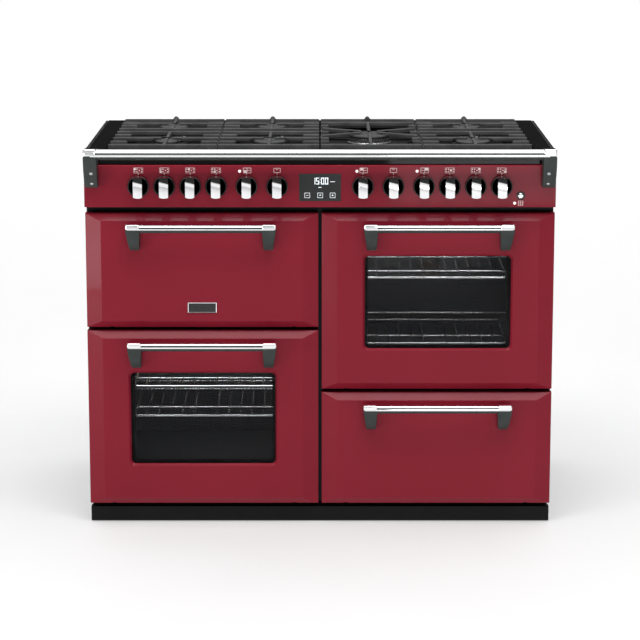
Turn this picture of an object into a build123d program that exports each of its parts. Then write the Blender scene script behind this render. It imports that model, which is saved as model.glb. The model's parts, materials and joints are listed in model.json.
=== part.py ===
"""Freestanding dual-fuel range: seven gas burners over four oven compartments.

Everything is laid out in millimetres with y = 0 at the front face of the control fascia, +y towards the wall
and z = 0 on the floor. On export the pieces move forward so that the origin is under the middle of the range.
"""

from build123d import *
import os
from math import cos, pi, radians, sin

# ---- driving dimensions ----
WIDTH = 1100
BODY_DEPTH = 600
HOB_HEIGHT = 900
RAIL_REACH = 52
SHEET = 2
WALL = 1.2
ORIGIN_SHIFT = (RAIL_REACH - BODY_DEPTH) / 2

# ---- doors ----
DOOR_GAP_CENTRE = 8
DOOR_WIDTH = (WIDTH - DOOR_GAP_CENTRE) / 2
DOOR_X = (WIDTH + DOOR_GAP_CENTRE) / 4
DOOR_BOTTOM, DOOR_TOP, DOOR_GAP = 48, 751.5, 8.5
SMALL_DOOR = 272.5
TALL_DOOR = DOOR_TOP - DOOR_BOTTOM - DOOR_GAP - SMALL_DOOR
BEVEL_DEPTH, BEVEL_SIDE, BEVEL_TOP = 14, 37, 17
SKIN_DEPTH, LINER_FRONT, DOOR_BACK = 34, 26, 46
CORNER_R = 4
HINGE_BACK, HINGE_RISE, HINGE_REACH = 18, 13, 215
PIN_R, RUNNING = 4, 0.05
WINDOW = (343, 221)
WINDOW_CHAMFER = 5
INNER_WINDOW = (327, 222)
PANE = 4
HANDLE_DROP, HANDLE_HALF, HANDLE_Y = 29, 175, -41
BRACKET_WIDTH, BRACKET_FOOT = 33, 55

# ---- carcass ----
FRAME_FRONT = 49.5
FRAME_BACK = FRAME_FRONT + SHEET
CAVITY_WIDTH, CAVITY_DEPTH = 420, 428
CAVITY_SILL, CAVITY_HEAD, CAVITY_FLANGE = 60, 40, 15
FAN_Z_DROP = 10
BAFFLE_FRONT = FRAME_BACK + CAVITY_DEPTH - 30
SIDE_TOP = 898
BASE_Z = 38
REAR = BODY_DEPTH
REAR_INSET = 3
INLET_X, INLET_R, INLET_DEPTH = 455, 9.3, 18
CHAIN_HALF, CHAIN_Z, CHAIN_R = 60, 780, 3
FEET = [(x, y) for x in (-480, 480) for y in (110, 540)]

# ---- hob ----
TRAY_HALF, TRAY_FRONT, TRAY_BACK = 542, 8, 592
WELL_HALF, WELL_FRONT, WELL_BACK, WELL_FLOOR = 503, 34, 552, 882
GRATE_FRONT, GRATE_BACK, GRATE_TOP = 40, 541, 910
FINGER_LOW = 905.5
RIB_WIDTH, RIB_LOW = 10, 898
FRAME_LOW, FRAME_BAR = 887, 12
GRATE_EDGES = [0, 241, 496]
BURNER_FRONT, BURNER_BACK, BURNER_MIDDLE = 172, 452, 290
INNER_X, OUTER_X = 120, 366
# x, y, radius of each burner's cap
BURNERS = [
    (-OUTER_X, BURNER_FRONT, 29),
    (-OUTER_X, BURNER_BACK, 36),
    (-INNER_X, BURNER_FRONT, 40),
    (-INNER_X, BURNER_BACK, 36),
    (INNER_X, BURNER_MIDDLE, 52),
    (OUTER_X, BURNER_FRONT, 42),
    (OUTER_X, BURNER_BACK, 36),
]

# ---- control fascia ----
FASCIA_BOTTOM, FASCIA_TOP, FASCIA_RETURN = 767, 866, 30
KNOB_Z = 817
KNOB_X = [-423, -362.5, -302, -242, -171, -100, 100, 171, 242, 302, 362.5, 423]
KNOB_R, SKIRT_FRONT, SKIRT_BACK, GRIP_FRONT, GRIP_WIDTH = 25, -11, -3, -36, 21
SPINDLE_R, SPINDLE_BACK = 4, 40
CLOCK = (97, 64, 814)
BUTTON_X, BUTTON_Z, BUTTON_R = 468, 795, 6.3
RAIL_Y, RAIL_Z, RAIL_R = -39.5, 896, 12.5


def block(x, y, z):
    """A box from three (low, high) pairs."""
    size = [b - a for a, b in (x, y, z)]
    middle = [(a + b) / 2 for a, b in (x, y, z)]
    return Pos(*middle) * Box(*size)


def facing(x, y, z):
    """The plane of a front view: drawn x to the right and z upwards, seen from the front."""
    return Plane(origin=(x, y, z), x_dir=(1, 0, 0), z_dir=(0, -1, 0))


def rod(start, end, radius):
    """A round bar between two points."""
    axis = Vector(*end) - Vector(*start)
    return extrude(Plane(origin=start, z_dir=axis) * Circle(radius), amount=axis.length)


def frustum(width, height, front, back, taper_side, taper_top, corner):
    """A front-facing slab whose edges slope back from a smaller front face."""
    face = RectangleRounded(width - 2 * taper_side, height - 2 * taper_top, corner)
    rim = RectangleRounded(width, height, corner)
    return loft([(facing(0, front, 0) * face).faces()[0], (facing(0, back, 0) * rim).faces()[0]])


def slab(width, height, front, back, corner=CORNER_R):
    """A front-facing slab with rounded corners, from one depth to another."""
    return extrude(facing(0, back, 0) * RectangleRounded(width, height, corner), amount=back - front)


def both_sides(shape):
    """A shape and its mirror image across the middle of its part."""
    return [shape, mirror(shape, about=Plane.YZ)]


# ================= doors =================


def door_skin(height, window):
    """The enamelled outer pressing: a raised field, sloping borders and a return rim."""
    outer = frustum(DOOR_WIDTH, height, 0, BEVEL_DEPTH, BEVEL_SIDE, BEVEL_TOP, CORNER_R)
    outer += slab(DOOR_WIDTH, height, BEVEL_DEPTH, SKIN_DEPTH)
    inner_rim = BEVEL_DEPTH + 1
    inner = frustum(
        DOOR_WIDTH - 2 * SHEET, height - 2 * SHEET, SHEET, inner_rim, BEVEL_SIDE - 1, BEVEL_TOP - 1, CORNER_R - 2
    )
    inner += slab(DOOR_WIDTH - 2 * SHEET, height - 2 * SHEET, inner_rim, SKIN_DEPTH, CORNER_R - 2)
    skin = outer - inner
    if window:
        grown = 2 * WINDOW_CHAMFER
        skin += slab(WINDOW[0] + grown + 6, WINDOW[1] + grown + 6, 0, 6, 10)
        skin -= frustum_hole(WINDOW[0], WINDOW[1], WINDOW_CHAMFER)
    notch_top = -height / 2 + SHEET + 1
    for x in (-HINGE_REACH, HINGE_REACH):
        skin -= block((x - 3.5, x + 3.5), (14.2, SKIN_DEPTH + 1), (-height / 2 - 1, notch_top))
    return skin


def frustum_hole(width, height, chamfer):
    """A window cut-out whose edge slopes in from the front."""
    front = RectangleRounded(width + 2 * chamfer, height + 2 * chamfer, 8)
    back = RectangleRounded(width, height, 8)
    slope = loft([(facing(0, 0, 0) * front).faces()[0], (facing(0, chamfer, 0) * back).faces()[0]])
    return slope + slab(width, height, chamfer, chamfer + 5, 8)


def door_liner(height, window):
    """The inner tray that closes the back of a door and carries the hinge ears."""
    width, tall = DOOR_WIDTH - 2 * SHEET - 0.6, height - 2 * SHEET - 0.6
    tray = slab(width, tall, LINER_FRONT, DOOR_BACK, 2)
    tray -= slab(width - 2 * SHEET, tall - 2 * SHEET, LINER_FRONT - 1, DOOR_BACK - SHEET, 1)
    if window:
        tray -= slab(*INNER_WINDOW, LINER_FRONT, DOOR_BACK + 1, 6)
    foot = -height / 2
    for x in (-HINGE_REACH, HINGE_REACH):
        for side in (-1, 1):
            tray += hinge_ear(foot, x + side * 5 - 1.5)
        tray -= block((x - 3.5, x + 3.5), (LINER_FRONT - 15, DOOR_BACK + 1), (foot - 1, foot + HINGE_RISE + 6.5))
        tray -= hinge_bore(x, foot)
    return tray


def hinge_ear(foot, x):
    """One cheek of the clevis that a hinge pin runs in."""
    outline = [(15.5, 4), (44.5, 4), (44.5, 44), (18, 44), (11, 34), (11, 11)]
    points = [(0, y, foot + z) for y, z in outline]
    cheek = make_face(Polyline(*points, close=True))
    return Pos(x, 0, 0) * extrude(cheek, amount=3, dir=(1, 0, 0))


def hinge_bore(x, foot):
    middle = foot + HINGE_RISE
    return rod((x - 8, HINGE_BACK, middle), (x + 8, HINGE_BACK, middle), PIN_R + RUNNING)


def door_glass():
    """The outer and inner panes of one window."""
    outer = slab(WINDOW[0] + 28, WINDOW[1] + 28, 6.2, 6.2 + PANE, 10)
    inner = slab(INNER_WINDOW[0] + 24, INNER_WINDOW[1] + 24, 44 - PANE, 44, 8)
    return [outer, inner]


def handle_bar(height):
    """A bright bar with a block at each end, in one piece."""
    z = height / 2 - HANDLE_DROP
    plane = Plane(origin=(-HANDLE_HALF + 4, HANDLE_Y, z), x_dir=(0, 1, 0), z_dir=(1, 0, 0))
    bar = extrude(plane * Ellipse(8, 9.5), amount=2 * HANDLE_HALF - 8)
    block_end = block((HANDLE_HALF - BRACKET_WIDTH, HANDLE_HALF), (HANDLE_Y - 9, HANDLE_Y + 13), (z - 4, z + 11))
    block_end = fillet(block_end.edges().filter_by(Axis.X).group_by(Axis.Z)[-1], 5)
    return bar + both_sides(block_end)


def handle_brackets(height):
    """The two tapering feet that carry the bar, each bolted flat against the door."""
    z = height / 2 - HANDLE_DROP
    side = [(-HANDLE_HALF, z - 4), (-HANDLE_HALF + BRACKET_WIDTH, z - 4)]
    side += [(-HANDLE_HALF + BRACKET_WIDTH - 3, z - BRACKET_FOOT), (-HANDLE_HALF + 8, z - BRACKET_FOOT)]
    front = extrude(make_face(Polyline(*[(x, 0, k) for x, k in side], close=True)), amount=60, dir=(0, -1, 0))
    top, toe = HANDLE_Y - 9, -14
    edge = [
        Line((0, 0, z - 4), (0, top, z - 4)),
        Line((0, top, z - 4), (0, top, z - 12)),
        ThreePointArc((0, top, z - 12), (0, -38, z - 38), (0, toe, z - BRACKET_FOOT)),
        Line((0, toe, z - BRACKET_FOOT), (0, 0, z - BRACKET_FOOT)),
        Line((0, 0, z - BRACKET_FOOT), (0, 0, z - 4)),
    ]
    profile = Pos(-HANDLE_HALF - 1, 0, 0) * extrude(make_face(edge), amount=BRACKET_WIDTH + 2, dir=(1, 0, 0))
    foot = profile & front
    plane = Plane(origin=(-HANDLE_HALF, HANDLE_Y, z), x_dir=(0, 1, 0), z_dir=(1, 0, 0))
    foot -= extrude(plane * Ellipse(8, 9.5), amount=BRACKET_WIDTH + 1)
    return both_sides(foot)


# ================= carcass =================


def cavity(height, ribs):
    """An enamelled oven box, open at the front, with a fixing flange and pressed shelf runners."""
    outer = slab(CAVITY_WIDTH + 2 * WALL, height + 2 * WALL, FRAME_BACK, FRAME_BACK + CAVITY_DEPTH + WALL, 11)
    outer += slab(CAVITY_WIDTH + 2 * CAVITY_FLANGE, height + 2 * CAVITY_FLANGE, FRAME_BACK, FRAME_BACK + WALL, 4)
    box = outer - slab(CAVITY_WIDTH, height, FRAME_BACK - 1, FRAME_BACK + CAVITY_DEPTH, 10)
    half = CAVITY_WIDTH / 2
    for level in ribs:
        for side in (-1, 1):
            x = sorted((side * (half + 1), side * (half - 9)))
            box += block(x, (FRAME_BACK + 12, FRAME_BACK + CAVITY_DEPTH - 20), (level - 5, level))
    return box


def wire_shelf():
    """A wire shelf with its rods fused: a frame, two cross rods and lengthwise wires, resting at z = 0."""
    half, front, back = 203, FRAME_BACK + 22, FRAME_BACK + 392
    corners = [(-half, front), (half, front), (half, back), (-half, back)]
    frame = [rod((*a, 3), (*b, 3), 3) for a, b in zip(corners, corners[1:] + corners[:1])]
    joints = [Pos(x, y, 3) * Sphere(3) for x, y in corners]
    crosses = [rod((-half, y, 3), (half, y, 3), 2.5) for y in (front + 88, back - 88)]
    wires = [rod((k * 28, front, 4.5), (k * 28, back, 4.5), 2) for k in range(-7, 8) if k]
    return Part() + frame + joints + crosses + wires


def front_frame():
    """The black face frame that the doors close against."""
    frame = block((-547, 547), (FRAME_FRONT, FRAME_BACK), (42, 764))
    for x, z, height in compartments():
        frame -= Pos(x, 0, z) * slab(CAVITY_WIDTH, height, FRAME_FRONT - 1, FRAME_BACK + 1, 10)
    return frame


def compartments():
    """Centre x, centre z and clear height of each oven opening: top left, bottom left, top right, bottom right."""
    found = []
    for x, top, door in door_places():
        low, high = top - door + CAVITY_SILL, top - CAVITY_HEAD
        found.append((x, (low + high) / 2, high - low))
    return found


def door_places():
    """Centre x, top and height of the four doors: top left, bottom left, top right, bottom right."""
    lower_left, lower_right = DOOR_TOP - SMALL_DOOR - DOOR_GAP, DOOR_TOP - TALL_DOOR - DOOR_GAP
    return [
        (-DOOR_X, DOOR_TOP, SMALL_DOOR),
        (-DOOR_X, lower_left, TALL_DOOR),
        (DOOR_X, DOOR_TOP, TALL_DOOR),
        (DOOR_X, lower_right, SMALL_DOOR),
    ]


def door_seal(height):
    """A rope seal round one oven opening."""
    outer = slab(CAVITY_WIDTH + 24, height + 24, DOOR_BACK + 0.4, FRAME_FRONT, 16)
    return outer - slab(CAVITY_WIDTH + 6, height + 6, DOOR_BACK, FRAME_FRONT + 1, 12)


def hinge_arm(x, z):
    """A steel arm hooked through the face frame, with the pin that its door turns on."""
    arm = block((x - 2.5, x + 2.5), (HINGE_BACK, FRAME_FRONT), (z - 3, z + 5))
    arm += rod((x - 2.5, HINGE_BACK, z), (x + 2.5, HINGE_BACK, z), 7)
    return arm + rod((x - 6.5, HINGE_BACK, z), (x + 6.5, HINGE_BACK, z), PIN_R)


def side_panel():
    """The right-hand side sheet with its edges folded in at the top, the front and the back."""
    outside, inside = WIDTH / 2, WIDTH / 2 - WALL
    panel = block((inside, outside), (FRAME_BACK, REAR), (BASE_Z, SIDE_TOP))
    panel += block((inside, outside), (FASCIA_RETURN + 1, FRAME_BACK), (FASCIA_BOTTOM + 1, SIDE_TOP))
    panel += block((528, outside), (FASCIA_RETURN + 1, REAR - REAR_INSET - WALL), (SIDE_TOP - WALL, SIDE_TOP))
    panel += block((532, outside), (REAR - WALL, REAR), (BASE_Z, SIDE_TOP))
    return panel + block((532, outside), (FRAME_BACK, FRAME_BACK + WALL), (BASE_Z, SIDE_TOP))


def rear_panel():
    """The back sheet, with vent slots, the gas inlet's hole and two holes for the stability chain."""
    back = REAR - REAR_INSET
    panel = block((-548, 548), (back - WALL, back), (BASE_Z, SIDE_TOP))
    for row in range(5):
        for column in range(-3, 4):
            z, x = 560 + 22 * row, 130 * column
            panel -= block((x - 45, x + 45), (back - 5, back + 5), (z - 3, z + 3))
    panel -= rod((INLET_X, back - 5, KNOB_Z), (INLET_X, back + 5, KNOB_Z), 16)
    for x in (-CHAIN_HALF, CHAIN_HALF):
        panel -= rod((x, back - 5, CHAIN_Z), (x, back + 5, CHAIN_Z), CHAIN_R)
    return panel


def base_frame():
    """The floor pan with a folded edge and screw holes for the feet."""
    pan = block((-546, 546), (60, REAR - 8), (BASE_Z, BASE_Z + 22))
    pan -= block((-544, 544), (62, REAR - 10), (BASE_Z + SHEET, BASE_Z + 30))
    for x, y in FEET:
        pan -= rod((x, y, BASE_Z - 1), (x, y, BASE_Z + 5), 5.3)
    return pan


def levelling_foot():
    """A pad with its adjusting stem and lock nut, in one piece."""
    foot = Pos(0, 0, 6) * Cylinder(20, 12) + Pos(0, 0, 16) * Cylinder(9, 10)
    foot += Pos(0, 0, 38) * Cylinder(5, 40)
    return foot + extrude(Pos(0, 0, 30) * RegularPolygon(9, 6), amount=8)


def plinth():
    """The kick panel: a channel below the doors."""
    channel = block((-549, 549), (22, 44), (2, 37))
    return channel - block((-547, 547), (22 + SHEET, 50), (2 + SHEET, 37 - SHEET))


# ================= hob =================


def hob_tray():
    """The enamelled spill tray: a sunken floor with a hole for each burner, and four hollow rims round it."""
    floor = block((-WELL_HALF, WELL_HALF), (WELL_FRONT, WELL_BACK), (WELL_FLOOR - SHEET, WELL_FLOOR))
    for x, y, radius in BURNERS:
        floor -= rod((x, y, WELL_FLOOR - 5), (x, y, WELL_FLOOR + 5), radius - 5)
    flat, wall = (HOB_HEIGHT - SHEET, HOB_HEIGHT), (WELL_FLOOR, HOB_HEIGHT)
    side = block((WELL_HALF - 3, TRAY_HALF), (TRAY_FRONT, TRAY_BACK), flat)
    side += block((WELL_HALF - 3, WELL_HALF), (WELL_FRONT, WELL_BACK), wall)
    rims = both_sides(side)
    across = (3 - WELL_HALF, WELL_HALF - 3)
    front = block(across, (TRAY_FRONT, WELL_FRONT + 3), flat) + block(across, (WELL_FRONT, WELL_FRONT + 3), wall)
    back = block(across, (WELL_BACK - 3, TRAY_BACK), flat) + block(across, (WELL_BACK - 3, WELL_BACK), wall)
    skirt = block((-TRAY_HALF, TRAY_HALF), (TRAY_FRONT, TRAY_FRONT + SHEET), (868, HOB_HEIGHT - SHEET))
    return [floor, *rims, front, back, skirt]


def burner_head(x, y, radius):
    """An aluminium burner: a cup below the tray, a flange on it and a crown with flame slots."""
    head = Pos(0, 0, WELL_FLOOR - 8) * Cylinder(radius - 6, 16)
    head += Pos(0, 0, WELL_FLOOR + 1.5) * Cylinder(radius + 1, 3)
    head += Pos(0, 0, WELL_FLOOR + 8) * Cylinder(radius - 2, 12)
    slots = max(18, round(radius * 0.75))
    for k in range(slots):
        slot = Pos(radius, 0, WELL_FLOOR + 12) * Box(9, 1.8, 6)
        head -= Rot(0, 0, 360 * k / slots) * slot
    return Pos(x, y, 0) * head


def burner_cap(x, y, radius):
    """A domed enamelled cap sitting on its burner."""
    seat, top = WELL_FLOOR + 14, WELL_FLOOR + 22
    cap = Pos(0, 0, (seat + top) / 2) * Cylinder(radius, top - seat)
    cap = fillet(cap.edges().filter_by(GeomType.CIRCLE).sort_by(Axis.Z)[-1], 4)
    return Pos(x, y, 0) * cap


def grate_outline(low, high):
    """The lower frame of a pan support: two side rails, each with a foot at both ends, and two cross rails."""
    rails = []
    for x in (low, high - FRAME_BAR):
        across = (x, x + FRAME_BAR)
        rail = block(across, (GRATE_FRONT, GRATE_BACK), (FRAME_LOW, RIB_LOW))
        rail += block(across, (GRATE_FRONT, GRATE_FRONT + FRAME_BAR), (WELL_FLOOR, FRAME_LOW))
        rail += block(across, (GRATE_BACK - FRAME_BAR, GRATE_BACK), (WELL_FLOOR, FRAME_LOW))
        rails.append(rail)
    for y in (GRATE_FRONT, GRATE_BACK - FRAME_BAR):
        rails.append(block((low + FRAME_BAR, high - FRAME_BAR), (y, y + FRAME_BAR), (FRAME_LOW, RIB_LOW)))
    return rails


def rib_rows():
    """Depths of the cast ribs on a pan support, from front to back."""
    step = (GRATE_BACK - GRATE_FRONT - RIB_WIDTH) / 8
    return [GRATE_FRONT + RIB_WIDTH / 2 + k * step for k in range(9)]


def rib(x_low, x_high, y):
    return block((x_low, x_high), (y - RIB_WIDTH / 2, y + RIB_WIDTH / 2), (RIB_LOW, GRATE_TOP))


def finger(x, y, inner, outer, clear, turn):
    """A finger that reaches in over a burner from outside, cut away underneath to clear the burner's cap."""
    outline = [(inner, FINGER_LOW), (inner, GRATE_TOP), (outer, GRATE_TOP), (outer, RIB_LOW)]
    outline += [(clear + 8, RIB_LOW), (clear + 3, FINGER_LOW)]
    blade = make_face(Polyline(*[(r, -4, z) for r, z in outline], close=True))
    return Pos(x, y, 0) * (Rot(0, 0, turn) * extrude(blade, amount=8, dir=(0, 1, 0)))


def side_ribs(low, high, long_rows, stub_rows, reach):
    """The rows of cast ribs: some run right across and the rest are short stubs along both sides."""
    rows = rib_rows()
    ribs = [rib(low, high, rows[k]) for k in long_rows]
    for k in stub_rows:
        ribs += [rib(low, low + reach, rows[k]), rib(high - reach, high, rows[k])]
    return ribs


def double_grate(low, high, burners):
    """A pan support over a front and a back burner, as the straight bars that its casting joins."""
    rows = rib_rows()
    grate = grate_outline(low, high) + side_ribs(low, high, (0, 4, 5, 8), (1, 3, 6, 7), 40)
    gap = RIB_WIDTH / 2
    fences = [(rows[0] + gap, rows[4] - gap), (rows[5] + gap, rows[8] - gap)]
    for (x, y, radius), (before, after) in zip(burners, fences):
        edges = [high - x, y - before, x - low, after - y]
        grate += [finger(x, y, 13, edge, radius, turn) for turn, edge in zip((0, -90, 180, 90), edges)]
    return grate + [rear_nib(burners[0][0], rows[8])]


def wok_grate(low, high, burner):
    """A pan support with six long fingers round the large middle burner."""
    x, y, radius = burner
    rows = rib_rows()
    grate = grate_outline(low, high) + side_ribs(low, high, (0, 7, 8), (1, 2, 4, 6), 20)
    reach = (min(high - x, x - low) - 4) / cos(radians(32))
    grate += [finger(x, y, 22, reach, radius, turn) for turn in (-32, 32, 148, 212)]
    gap = RIB_WIDTH / 2
    grate.append(finger(x, y, 22, y - rows[0] - gap, radius, -90))
    grate.append(finger(x, y, 22, rows[7] - gap - y, radius, 90))
    return grate + [rear_nib(x, rows[8])]


def rear_nib(x, y):
    """The small raised stop at the back of a pan support."""
    nib = block((x - 6, x + 6), (y - RIB_WIDTH / 2, y + RIB_WIDTH / 2), (GRATE_TOP, GRATE_TOP + 7))
    return fillet(nib.edges().filter_by(Axis.Y).group_by(Axis.Z)[-1], 4)


# ================= rail and fascia =================


def hob_rail():
    """The bright front rail, with a block at each end."""
    rail = rod((-530, RAIL_Y, RAIL_Z), (530, RAIL_Y, RAIL_Z), RAIL_R)
    end = block((516, 547), (-RAIL_REACH, RAIL_Y + 17), (RAIL_Z - 3, RAIL_Z + 14))
    end = fillet(end.edges().filter_by(Axis.X).group_by(Axis.Z)[-1], 6)
    return rail + both_sides(end)


def rail_brackets():
    """The two legs that hold the rail off the fascia."""
    top, low, toe = RAIL_Z - 3, 815, -12
    edge = [
        Line((0, 0, top), (0, -RAIL_REACH, top)),
        Line((0, -RAIL_REACH, top), (0, -RAIL_REACH, top - 16)),
        ThreePointArc((0, -RAIL_REACH, top - 16), (0, -38, top - 46), (0, toe, low)),
        Line((0, toe, low), (0, 0, low)),
        Line((0, 0, low), (0, 0, top)),
    ]
    leg = Pos(514, 0, 0) * extrude(make_face(edge), amount=33, dir=(1, 0, 0))
    leg -= rod((510, RAIL_Y, RAIL_Z), (550, RAIL_Y, RAIL_Z), RAIL_R)
    return both_sides(leg)


def control_fascia():
    """The enamelled control panel, with holes for the spindles, the clock and the button."""
    panel = block((-550, 550), (0, FASCIA_RETURN), (FASCIA_BOTTOM, FASCIA_TOP))
    panel = fillet(panel.edges().filter_by(Axis.X).group_by(Axis.Y)[0], 1.5)
    panel -= block((-548, 548), (SHEET, FASCIA_RETURN + 1), (FASCIA_BOTTOM + SHEET, FASCIA_TOP - SHEET))
    for x in KNOB_X:
        panel -= rod((x, -5, KNOB_Z), (x, 5, KNOB_Z), 6)
    panel -= block((-45, 45), (-5, 5), (CLOCK[2] - 29, CLOCK[2] + 29))
    return panel - rod((BUTTON_X, -5, BUTTON_Z), (BUTTON_X, 5, BUTTON_Z), BUTTON_R + 0.1)


def clock_module():
    """The touch clock: a glass front on a housing behind the fascia."""
    glass = Pos(0, 0, CLOCK[2]) * slab(CLOCK[0], CLOCK[1], -1.2, 0, 2)
    housing = block((-44, 44), (0, 26), (CLOCK[2] - 28, CLOCK[2] + 28))
    return [glass, housing]


def knob(x):
    """A control knob, with a round skirt and a bar grip, on its spindle."""
    body = rod((0, SKIRT_FRONT, 0), (0, SKIRT_BACK, 0), KNOB_R)
    body = chamfer(body.edges().filter_by(GeomType.CIRCLE).sort_by(Axis.Y)[0], 1.5)
    grip = rod((0, GRIP_FRONT, 0), (0, SKIRT_FRONT, 0), KNOB_R - 0.5)
    grip &= block((-GRIP_WIDTH / 2, GRIP_WIDTH / 2), (GRIP_FRONT, SKIRT_FRONT), (-30, 30))
    body += grip
    spindle = rod((0, SKIRT_BACK - 4, 0), (0, SPINDLE_BACK, 0), SPINDLE_R)
    return [Pos(x, 0, KNOB_Z) * (body - spindle), Pos(x, 0, KNOB_Z) * spindle]


def tap_body(x):
    """A gas tap or oven switch that holds one spindle."""
    body = block((x - 13, x + 13), (14, 54), (KNOB_Z - 13, KNOB_Z + 13))
    return body - rod((x, 10, KNOB_Z), (x, SPINDLE_BACK + 2, KNOB_Z), SPINDLE_R + RUNNING)


def gas_rail():
    """The supply pipe: a threaded inlet at the back, a run forwards and the rail behind the taps."""
    pipe = rod((-440, 64, KNOB_Z), (INLET_X, 64, KNOB_Z), 9)
    pipe += rod((INLET_X, 64, KNOB_Z), (INLET_X, REAR - 20, KNOB_Z), 9) + Pos(INLET_X, 64, KNOB_Z) * Sphere(9)
    pipe += rod((INLET_X, REAR - 32, KNOB_Z), (INLET_X, REAR, KNOB_Z), 14)
    return pipe - rod((INLET_X, REAR - INLET_DEPTH, KNOB_Z), (INLET_X, REAR + 1, KNOB_Z), INLET_R)


# ================= inside the ovens =================


def fan_centre():
    x, z, _ = compartments()[2]
    return x, z - FAN_Z_DROP


def fan_cover():
    """The slotted baffle in front of the oven fan, on four spacers."""
    x, z = fan_centre()
    plate = slab(320, 230, BAFFLE_FRONT, BAFFLE_FRONT + SHEET, 12)
    for k in range(12):
        plate -= rod_slot(105 * cos(2 * pi * k / 12), 85 * sin(2 * pi * k / 12))
    plate -= rod((0, BAFFLE_FRONT - 5, 0), (0, BAFFLE_FRONT + 5, 0), 26)
    for sx in (-145, 145):
        for sz in (-100, 100):
            plate += rod((sx, BAFFLE_FRONT + 1, sz), (sx, FRAME_BACK + CAVITY_DEPTH, sz), 4)
    return Pos(x, 0, z) * plate


def rod_slot(x, z):
    return block((x - 14, x + 14), (BAFFLE_FRONT - 2, BAFFLE_FRONT + 5), (z - 5, z + 5))


def oven_fan():
    """The fan wheel and its shaft, which runs in the oven's back wall."""
    back = FRAME_BACK + CAVITY_DEPTH
    wheel = rod((0, back - 6, 0), (0, back - 4, 0), 82)
    for k in range(12):
        blade = block((30, 80), (back - 22, back - 5), (-1, 1))
        wheel += Rot(0, 30 * k, 0) * blade
    wheel += rod((0, back - 20, 0), (0, back - 4, 0), 12)
    wheel += rod((0, back - 5, 0), (0, back + 30, 0), 5)
    x, z = fan_centre()
    return Pos(x, 0, z) * wheel


def grill_element():
    """The looped heating rod under the grill compartment's roof."""
    x, z, height = compartments()[0]
    level, back = z + height / 2 - 18, FRAME_BACK + CAVITY_DEPTH
    passes = [-150, -90, -30, 30, 90, 150]
    points = [(passes[0], back - 1)]
    for k, across in enumerate(passes):
        near, far = (FRAME_BACK + 50, back - 50)
        points += [(across, near), (passes[k + 1], near)] if k % 2 == 0 else []
        if k % 2 and k + 1 < len(passes):
            points += [(across, far), (passes[k + 1], far)]
    points.append((passes[-1], back - 1))
    path = FilletPolyline(*[(px, py, 0) for px, py in points], radius=22)
    section = Plane(origin=path @ 0, z_dir=path % 0) * Circle(4)
    return Pos(x, 0, level) * sweep(section, path=path)


def build():
    """Every node of the range, by name."""
    nodes = {
        "base_frame": base_frame(),
        "side_panels": both_sides(side_panel()),
        "rear_panel": rear_panel(),
        "plinth": plinth(),
        "levelling_feet": [Pos(x, y, 0) * levelling_foot() for x, y in FEET],
        "front_frame": front_frame(),
        "hob_tray": hob_tray(),
        "burner_heads": [burner_head(*b) for b in BURNERS],
        "burner_caps": [burner_cap(*b) for b in BURNERS],
        "hob_rail": hob_rail(),
        "rail_brackets": rail_brackets(),
        "control_fascia": control_fascia(),
        "clock_module": clock_module(),
        "taps_and_switches": [tap_body(x) for x in KNOB_X],
        "gas_rail": gas_rail(),
        "fan_cover": fan_cover(),
        "oven_fan": oven_fan(),
        "grill_element": grill_element(),
    }

    names = ["grill", "left_oven", "right_oven", "slow_oven"]
    shelf_levels = [[52], [197, 270], [94, 254], [40]]
    seals, arms, shelves = [], [], []
    shelf = wire_shelf()
    for name, (x, top, height), (_, z, clear), levels in zip(names, door_places(), compartments(), shelf_levels):
        windowed = height == TALL_DOOR
        bottom = top - height
        place = Pos(x, 0, bottom + height / 2)
        sill = bottom + CAVITY_SILL
        ribs = [bottom + level + (0 if windowed else 30) for level in levels]
        spare = [sill + 45, sill + 250] if windowed else []
        nodes[name + "_cavity"] = Pos(x, 0, z) * cavity(clear, [level - z for level in ribs + spare])
        nodes[name + "_door_panel"] = place * door_skin(height, windowed)
        nodes[name + "_door_liner"] = place * door_liner(height, windowed)
        nodes[name + "_handle_bar"] = place * handle_bar(height)
        nodes[name + "_handle_brackets"] = [place * foot for foot in handle_brackets(height)]
        if windowed:
            nodes[name + "_door_glass"] = [place * pane for pane in door_glass()]
        seals.append(Pos(x, 0, z) * door_seal(clear))
        arms += [hinge_arm(x + side * HINGE_REACH, bottom + HINGE_RISE) for side in (-1, 1)]
        shelves += [Pos(x, 0, level) * shelf for level in ribs]
    nodes["right_oven_cavity"] -= fan_shaft_hole()
    nodes["door_seals"] = seals
    nodes["hinge_arms"] = arms
    nodes["oven_shelves"] = shelves

    edges = GRATE_EDGES
    nodes["pan_support_far_left"] = double_grate(-edges[2], -edges[1] - 1.5, BURNERS[0:2])
    nodes["pan_support_mid_left"] = double_grate(-edges[1] + 1.5, -1.5, BURNERS[2:4])
    nodes["pan_support_wok"] = wok_grate(1.5, edges[1] - 1.5, BURNERS[4])
    nodes["pan_support_far_right"] = double_grate(edges[1] + 1.5, edges[2], BURNERS[5:7])

    for number, x in enumerate(KNOB_X, 1):
        nodes[f"knob_{number:02d}"] = knob(x)
    stem = rod((BUTTON_X, -5, BUTTON_Z), (BUTTON_X, 12, BUTTON_Z), BUTTON_R)
    nodes["ignition_button"] = fillet(stem.edges().filter_by(GeomType.CIRCLE).sort_by(Axis.Y)[0], 1)
    return nodes


def fan_shaft_hole():
    x, z = fan_centre()
    back = FRAME_BACK + CAVITY_DEPTH
    return rod((x, back - 5, z), (x, back + 5, z), 5 + RUNNING)


os.makedirs("parts", exist_ok=True)
for node, shape in build().items():
    pieces = shape if isinstance(shape, list) else [shape]
    moved = [Pos(0, ORIGIN_SHIFT, 0) * solid for piece in pieces for solid in piece.solids()]
    export_step(Compound(children=moved), f"parts/{node}.step")
    print(node, len(moved))
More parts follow.
